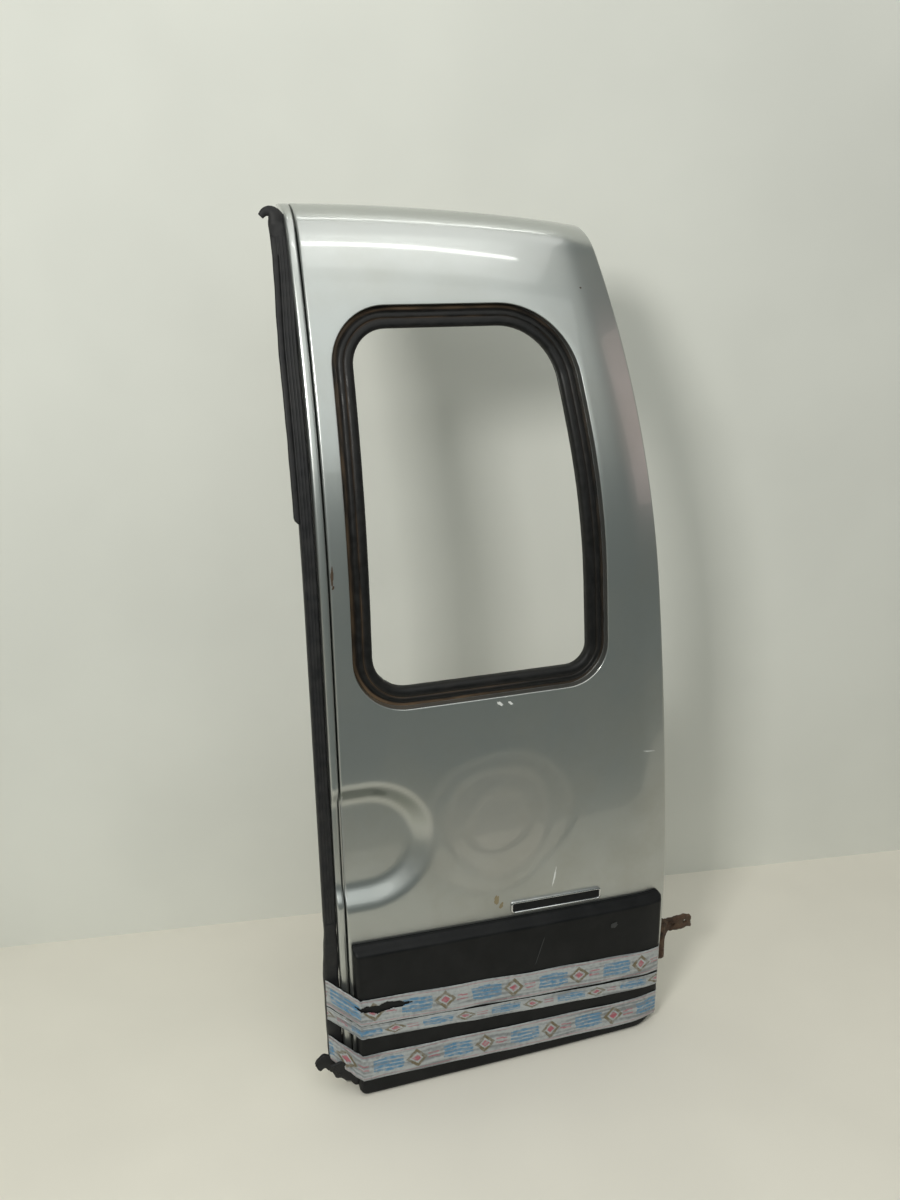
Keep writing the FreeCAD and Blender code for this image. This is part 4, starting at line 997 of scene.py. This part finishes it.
def tapeLine(top, fall, lift):  # (x, depth from the door's face, top height) along one turn
    form, proud = tapeForm, claddingForm["proud"]
    left, right, inset = claddingForm["left"], claddingRight(), form["corner"][-1][0]
    front = -proud - form["overlap"]
    line = [(form["sealX"] + x, form["sealDepth"] + deeper, top + lift) for x, deeper in form["sealEnd"]]
    line += [(left + x, front + deeper, top + share * lift) for x, deeper, share in form["corner"]]
    for share in np.linspace(0, 1, form["steps"])[1:]:
        line.append((left + inset + share * (right - left - 2 * inset), front, top - fall * share))
    line += [(right + x, deeper - proud, top - fall) for x, deeper in form["rightEnd"]]
    return np.array(line)


def buildTape(name, node, width, top, fall, lift, seed):
    form, tear, crease = tapeForm, tapeForm["tear"], creaseForm
    line = tapeLine(top, fall, lift)
    real = np.stack([onDoor(x, crease["measureAt"], depth) for x, depth, high in line])
    lengths = np.concatenate(([0], np.cumsum(np.linalg.norm(np.diff(real[:, :2], axis=0), axis=1))))
    along = np.arange(0, lengths[-1], form["cell"])
    xs, depths, tops = (np.interp(along, lengths, line[:, axis]) for axis in range(3))
    across = np.linspace(0, width, int(width / form["cell"]))
    points, colours, torn = [], [], []
    cornerAt = lengths[len(form["sealEnd"])]
    for s, x, depth, high in zip(along, xs, depths, tops):
        free = math.exp(-(((s - cornerAt + crease["looseAt"]) / crease["looseReach"]) ** 2))  # loosest at the corner
        sway = ripple(*crease["sway"], s, 0, seed) + free * ripple(*crease["looseSway"], s, crease["looseLine"], seed)
        drift = ripple(*crease["drift"], s, 0, seed)
        loose = crease["looseRise"] * free
        reach = abs(s - cornerAt - tear["along"]) / tear["half"]
        for t in across:
            pull = wander(s * crease["stretch"], t * crease["pitch"] + drift, 0, 1, seed + crease["seed"])
            fine = ripple(*crease["fine"], s, t, seed)
            raised = max(0, crease["ridge"] - abs(pull)) * (crease["ridgeRise"] + loose)
            raised += crease["fineRise"] * fine * (crease["fineTight"] + loose)
            points.append(onDoor(x, np.float64(high - t + sway), depth - max(crease["height"] * raised, 0)))
            # painted shade along the crease ridges and at the loose corner
            shade = crease["shade"] * abs(pull) - crease["shadeFrom"]
            paintedCreaseShade = np.clip(shade + crease["fineShade"] * fine + crease["looseShade"] * free, 0, 1)
            colours.append(printWithCreaseShade(s, t * printForm["width"] / width, paintedCreaseShade, seed))
            gap = tear["high"] * (1 - reach**2) * (1 + ripple(*tear["ragged"], s, t, 0))
            torn.append(seed == tear["seed"] and reach < 1 and abs(t - tear["across"]) < gap)
    faces = [f for f in gridFaces(len(along), len(across)) if not any(torn[i] for i in f)]
    tape = makePiece(name, points, faces, tapeFilm, outwards, 70)
    kept = sorted({i for f in faces for i in f})
    # the print attribute carries the print and the painted crease shade
    layer = tape.data.color_attributes.new("print", "FLOAT_COLOR", "POINT")
    shades = np.concatenate((np.array(colours)[kept], np.ones((len(kept), 1))), axis=1)
    layer.data.foreach_set("color", shades.astype(np.float32).ravel())
    thicken(tape, form["sheet"])
    settle(tape, "door", "packing_tape", node)


for run in tapeForm["runs"]:
    buildTape(*run)
print("tape ready")

# Blank bright plate: a raised rim round a plain field.
barForm = {
    "left": 0.246, "right": 0.394, "z": 0.2610, "height": 0.020, "stand": 0.0036, "radius": 0.0060, "fall": -0.035,
    "perArc": 8, "outlineStep": 0.0015, "fieldInset": 0.0036, "fieldLevel": 0.5,
    # the section from the foot to the field as (inwards, level)
    "layers": ((0, -0.0002), (0, 0.6), (0.0005, 0.88), (0.0014, 1.0), (0.0024, 1.0), (0.0032, 0.84), (0.0036, 0.45),
               (0.0048, 0.40)),
}


def buildBar():
    form = barForm
    low, high = form["z"] - form["height"] / 2, form["z"] + form["height"] / 2
    corners = ((form["left"], low), (form["right"], low), (form["right"], high), (form["left"], high))
    outline = roundedOutline([(x, z, form["radius"]) for x, z in corners], form["perArc"])
    loop, inward = evenLoop(outline, form["outlineStep"])

    def ringAt(inset, level):
        x, z = (loop + inward * inset).T
        return onDoor(x, z + form["fall"] * (x - form["left"]), -form["stand"] * level)
    points = np.concatenate([ringAt(inset, level) for inset, level in form["layers"]])
    plate = makePiece("blankPlate", points, tubeFaces(len(form["layers"]), len(loop)), chrome, smoothAngle=35)
    settle(plate, "door", "zinc_steel")
    points = ringAt(form["fieldInset"], form["fieldLevel"])
    field = makePiece("plateField", points, [tuple(range(len(loop)))], plastic, outwards)
    settle(field, "door", "cladding_plastic")


buildBar()

# Small marks of use: chips, scratches, scuffs and a spot of old glue.
markForm = {
    "lift": 0.00025, "rays": 20, "rings": 3, "ragged": 0.55, "raggedScale": 2.2, "raggedSeed": 8.0,
    "finishes": {
        "paleScratch": dict(colour=(0.70, 0.71, 0.69, 1), roughness=0.5),
        "rustChip": dict(colour=(0.055, 0.034, 0.020, 1), roughness=0.85),
        "oldGlue": dict(colour=(0.25, 0.205, 0.12, 1), roughness=0.6),
        "scuff": dict(colour=(0.030, 0.032, 0.033, 1), roughness=0.6)},
    "spots": (  # finish, slot, x, z, half length, half width, turn in degrees, on the cover
        ("paleScratch", "silver_paint", 0.229, 0.5925, 0.0052, 0.0022, -38, False),
        ("paleScratch", "silver_paint", 0.2445, 0.5915, 0.0046, 0.0016, -44, False),
        ("paleScratch", "silver_paint", 0.4690, 0.4795, 0.0100, 0.0007, -12, False),
        ("paleScratch", "silver_paint", 0.3165, 0.2985, 0.0150, 0.0013, 80, False),
        ("rustChip", "silver_paint", 0.0030, 0.7976, 0.0125, 0.0019, 88, False),
        ("rustChip", "silver_paint", 0.0036, 0.7830, 0.0030, 0.0012, 60, False),
        ("rustChip", "silver_paint", 0.3727, 1.1420, 0.0014, 0.0012, 0, False),
        ("oldGlue", "silver_paint", 0.2240, 0.2790, 0.0080, 0.0036, 82, False),
        ("oldGlue", "silver_paint", 0.2320, 0.2680, 0.0050, 0.0026, 70, False),
        ("scuff", "cladding_plastic", 0.4101, 0.2052, 0.0060, 0.0046, 0, True),
        ("scuff", "cladding_plastic", 0.2870, 0.1900, 0.0230, 0.0007, 72, True)),
}


def buildMarks():
    form = markForm
    materials = {}
    for finish, look in form["finishes"].items():
        materials[finish], tree, shader = newMaterial(finish)
        shader.inputs["Base Color"].default_value = look["colour"]
        shader.inputs["Roughness"].default_value = look["roughness"]
    for index, (finish, slotName, x, z, long, wide, turn, onCover) in enumerate(form["spots"]):
        cosAim, sinAim = math.cos(math.radians(turn)), math.sin(math.radians(turn))
        places = []
        for ring in range(1, form["rings"] + 1):
            for ray in range(form["rays"]):
                cosRay, sinRay = (f(2 * math.pi * ray / form["rays"]) for f in (math.cos, math.sin))
                ragged = 1 + form["ragged"] * wander(cosRay, sinRay, index, form["raggedScale"], form["raggedSeed"])
                along, aside = (size * ragged * ring / form["rings"] for size in (long * cosRay, wide * sinRay))
                places.append((x + along * cosAim - aside * sinAim, z + along * sinAim + aside * cosAim))
        px, pz = np.array(places).T
        stand = claddingForm["proud"] + claddingForm["wave"] if onCover else -pressedDepth(px, pz)
        points = onDoor(px, liftOf(px, pz), -stand - form["lift"])
        faces = gridFaces(form["rings"], form["rays"], closedCols=True) + [tuple(range(form["rays"]))]
        settle(makePiece(f"{finish}{index}", points, faces, materials[finish], outwards), "door", slotName)


buildMarks()

# Hardware keeps its solid shape, with smooth rounds and its own finish.
hardware = (  # material, slot, body, nodes
    (innerPaint, "inner_paint", "door", (
        "inner_panel", "inner_panel_waist", "window_frame_sill", "window_frame_left", "window_frame_right",
        "window_frame_head", "hinge_reinforcement_lower", "hinge_reinforcement_upper")),
    (rust, "rusty_steel", "door", ("lower_hinge_door_leaf", "lower_hinge_bolts")),
    (rust, "rusty_steel", "pillar_side", ("lower_hinge_pin", "lower_hinge_pillar_leaf")),
    (zinc, "zinc_steel", "door", ("upper_latch", "lower_latch", "upper_latch_rod", "lower_latch_rod")),
    (latchPlastic, "latch_plastic", "door", ("rod_guides", "release_lever")),
    (rubber, "seal_rubber", "door", ("bump_stops",)),
)
dressing = {"merge": 0.00001, "sharpAngle": math.radians(32)}

collar = {"rim": 0.004, "blend": 0.024, "front": 0.016, "deepen": 0.020, "flare": 0.013, "leftLimit": 0.6}
corrosion = {
    "nodes": ("lower_hinge_pillar_leaf", "lower_hinge_door_leaf"),
    "cell": 0.003, "passes": 6, "swell": 0.0012, "lumps": 0.0026, "coarse": 90, "fine": 310, "fineShare": 0.45,
    "pinX": -0.052, "pinY": -0.033, "pinHold": 0.010, "pinBlend": 0.010, "pinShare": 0.12,
    "flangeX": -0.040, "flangeBlend": 0.014, "soundHalf": 0.0065, "wasted": 0.62,
}


def flareCollar(work):  # the collar behind the glass opens out towards the inside, so its wall stays hidden
    loop, inward = evenLoop(windowOutline(), windowForm["step"])
    places = np.array([(v.co.x - seamX, v.co.z - footZ) for v in work.verts])
    away, nearest = awayFrom(places, loop)
    inside = insideOf(places, loop)
    for vert, place, gap, near, within in zip(work.verts, places, away, nearest, inside):
        if not within:
            continue
        deep = vert.co.y - faceY - faceDepth(place[0], liftOf(place[0], place[1]))
        flare = collar["flare"] * np.clip(collar["leftLimit"] - inward[near][0], 0, 1)  # none beside the meeting edge
        flare *= smoothStep((gap - collar["rim"]) / collar["blend"])
        flare *= smoothStep((deep - collar["front"]) / collar["deepen"])
        vert.co.x -= inward[near][0] * flare
        vert.co.z -= inward[near][1] * flare


def corrode(work):  # rust has eaten the plain faces
    for step in range(corrosion["passes"]):
        longEdges = [e for e in work.edges if e.calc_length() > corrosion["cell"]]
        if not longEdges:
            break
        bmesh.ops.subdivide_edges(work, edges=longEdges, cuts=1)
    bmesh.ops.triangulate(work, faces=work.faces)
    work.normal_update()
    half, sound = max(abs(v.co.z) for v in work.verts), corrosion["soundHalf"]
    shrink = (corrosion["wasted"] * half - sound) / (half - sound)
    for vert in work.verts:
        x, y, z = vert.co
        beyond = max(abs(z) - sound, 0.0)  # the flange has wasted away above and below its holes
        eaten = smoothStep((x - corrosion["flangeX"]) / corrosion["flangeBlend"])
        fromPin = math.hypot(x - corrosion["pinX"], y - corrosion["pinY"])
        share = smoothStep((fromPin - corrosion["pinHold"]) / corrosion["pinBlend"])
        share = corrosion["pinShare"] + (1 - corrosion["pinShare"]) * share  # the knuckles stay free to turn
        lump = noise.noise(vert.co * corrosion["coarse"])
        lump += corrosion["fineShare"] * noise.noise(vert.co * corrosion["fine"])
        vert.co.z -= math.copysign(beyond * (1 - shrink) * eaten, z)
        vert.co += vert.normal * share * (corrosion["swell"] + corrosion["lumps"] * lump)


def dressNode(node, material, slotName, body):
    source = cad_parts[node]
    work = bmesh.new()
    work.from_mesh(source.data)
    work.transform(source.matrix_world)
    bmesh.ops.remove_doubles(work, verts=work.verts, dist=dressing["merge"])
    if node.startswith("window_frame"):
        flareCollar(work)
    if node in corrosion["nodes"]:
        corrode(work)
    mesh = bpy.data.meshes.new(node + "Dressed")
    work.to_mesh(mesh)
    work.free()
    mesh.materials.clear()
    mesh.materials.append(material)
    mesh.shade_smooth()
    mesh.set_sharp_from_angle(angle=dressing["sharpAngle"])
    settle(addObject(node + "Dressed", mesh), body, slotName, node)


for material, slotName, body, nodes in hardware:
    for node in nodes:
        dressNode(node, material, slotName, body)
print("hardware ready")

# Camera at the photograph's place, for a 900 by 1200 picture.
cameraForm = {
    "x": -0.21197, "depth": -1.20582, "z": 1.14439, "yaw": 17.06, "pitch": 17.32, "roll": -0.79,
    "focal": 1001.55, "pictureHeight": 1200, "sensor": 36.0,
}


def placeCamera():
    form = cameraForm
    yaw, pitch, roll = (math.radians(form[n]) for n in ("yaw", "pitch", "roll"))
    ahead = Vector((math.sin(yaw) * math.cos(pitch), math.cos(yaw) * math.cos(pitch), -math.sin(pitch)))
    right = Vector((math.cos(yaw), -math.sin(yaw), 0))
    up = right.cross(ahead)
    turnedRight = right * math.cos(roll) + up * math.sin(roll)
    turnedUp = up * math.cos(roll) - right * math.sin(roll)
    data = bpy.data.cameras.new("camera")
    data.sensor_fit = "VERTICAL"
    data.sensor_height = form["sensor"]
    data.lens = form["focal"] * form["sensor"] / form["pictureHeight"]
    camera = addObject("camera", data)
    turn = Matrix((turnedRight, turnedUp, -ahead)).transposed().to_4x4()
    place = Vector((seamX + form["x"], faceY + form["depth"], footZ + form["z"]))
    camera.matrix_world = Matrix.Translation(place) @ turn
    bpy.context.scene.camera = camera


placeCamera()

# Pale floor and wall, soft light.
studio = {
    "floor": (0.78, 0.75, 0.67, 1), "wall": (0.73, 0.735, 0.68, 1), "reach": 6.0, "floorFront": 0.62,
    "groundGap": 0.0005, "wallTop": 4,
    "wallAtSeam": 0.462, "wallTurn": -0.137,  # the wall stands a little askew behind the door
    "worldColour": (0.86, 1.0, 0.95, 1), "worldStrength": 0.165,
    "lamps": (  # name, place, aims at, width, length, watts, colour
        ("keyLamp", (-1.80, -1.62, 1.75), (-0.3, 0.2, 0.55), 0.5, 0.5, 31, (1.0, 0.99, 0.95)),
        ("frontPanel", (-0.30, -2.30, 1.95), (-0.3, 0.1, -0.27), 2.8, 1.77, 16.5, (0.97, 1.0, 0.97)),
        ("ceilingPanel", (-0.30, -0.85, 2.75), (-0.3, -0.85, 0.0), 2.4, 1.7, 16, (1.0, 0.99, 0.95)),
        ("wallTube", (-0.10, 0.20, 2.45), (-0.1, 0.10, 1.0), 1.2, 0.04, 1.7, (1.0, 1.0, 0.96)),
        ("frontTube", (-0.05, -1.18, 2.45), (-0.1, 0.05, 1.1), 1.2, 0.022, 1.3, (1.0, 1.0, 0.96)),
        ("backFill", (-0.50, 2.60, 1.90), (-0.3, 0.1, 0.5), 1.4, 1.4, 12, (1.0, 1.0, 0.98)),
        ("warmSide", (1.50, -0.90, 1.30), (-0.1, 0.0, 0.7), 0.7, 1.2, 1.8, (1.0, 0.74, 0.70))),
}


plainForm = {
    "grainSize": 60.0, "lumpSize": 2.5, "lumps": 0.5, "mottle": (0.3, 0.7), "deeper": 0.94, "roughness": 0.75,
    "specular": 0.2,
}


def plainMaterial(name, colour):
    form = plainForm
    material, tree, shader = newMaterial(name, specular=form["specular"])
    shade = ramp(tree, placeGrain(tree, form).outputs["Mottle"], *form["mottle"])
    deeper = tuple(form["deeper"] * c for c in colour[:3]) + (1,)
    feed(tree, shader.inputs["Base Color"], mixColour(tree, shade, colour, deeper))
    shader.inputs["Roughness"].default_value = form["roughness"]
    facing = addNode(tree, "ShaderNodeNewGeometry")  # seen through from behind, so the inner side can be viewed
    clear = addNode(tree, "ShaderNodeBsdfTransparent")
    either = addNode(tree, "ShaderNodeMixShader", {
        0: facing.outputs["Backfacing"], 1: shader.outputs[0], 2: clear.outputs[0]})
    feed(tree, tree.nodes["Material Output"].inputs["Surface"], either.outputs[0])
    return material


def buildStudio():
    reach, ground, top = studio["reach"], footZ - studio["groundGap"], studio["wallTop"]
    leftBack, rightBack = (faceY + studio["wallAtSeam"] + studio["wallTurn"] * (x - seamX) for x in (-reach, reach))
    front = faceY - studio["floorFront"]
    backLine = [(-reach, leftBack, ground), (reach, rightBack, ground)]
    floorPoints = [(-reach, front, ground), (reach, front, ground)] + backLine[::-1]
    wallPoints = backLine + [(reach, rightBack, top), (-reach, leftBack, top)]
    whole = [(0, 1, 2, 3)]
    floor = makePiece("floor", floorPoints, whole, plainMaterial("paleFloor", studio["floor"]), Vector((0, 0, 1)))
    wall = makePiece("wall", wallPoints, whole, plainMaterial("paleWall", studio["wall"]), outwards)
    for name, place, aim, width, length, watts, colour in studio["lamps"]:
        data = bpy.data.lights.new(name, "AREA")
        data.shape = "RECTANGLE"
        data.size, data.size_y, data.energy, data.color = width, length, watts, colour
        lamp = addObject(name, data)
        turn = (Vector(aim) - Vector(place)).to_track_quat("-Z", "Y").to_matrix().to_4x4()
        lamp.matrix_world = Matrix.Translation(place) @ turn
    world = bpy.data.worlds.new("studioWorld")
    world.use_nodes = True
    for index, value in enumerate((studio["worldColour"], studio["worldStrength"])):
        world.node_tree.nodes["Background"].inputs[index].default_value = value
    bpy.context.scene.world = world


buildStudio()
bpy.context.scene.view_settings.view_transform = "Standard"
print("studio ready")
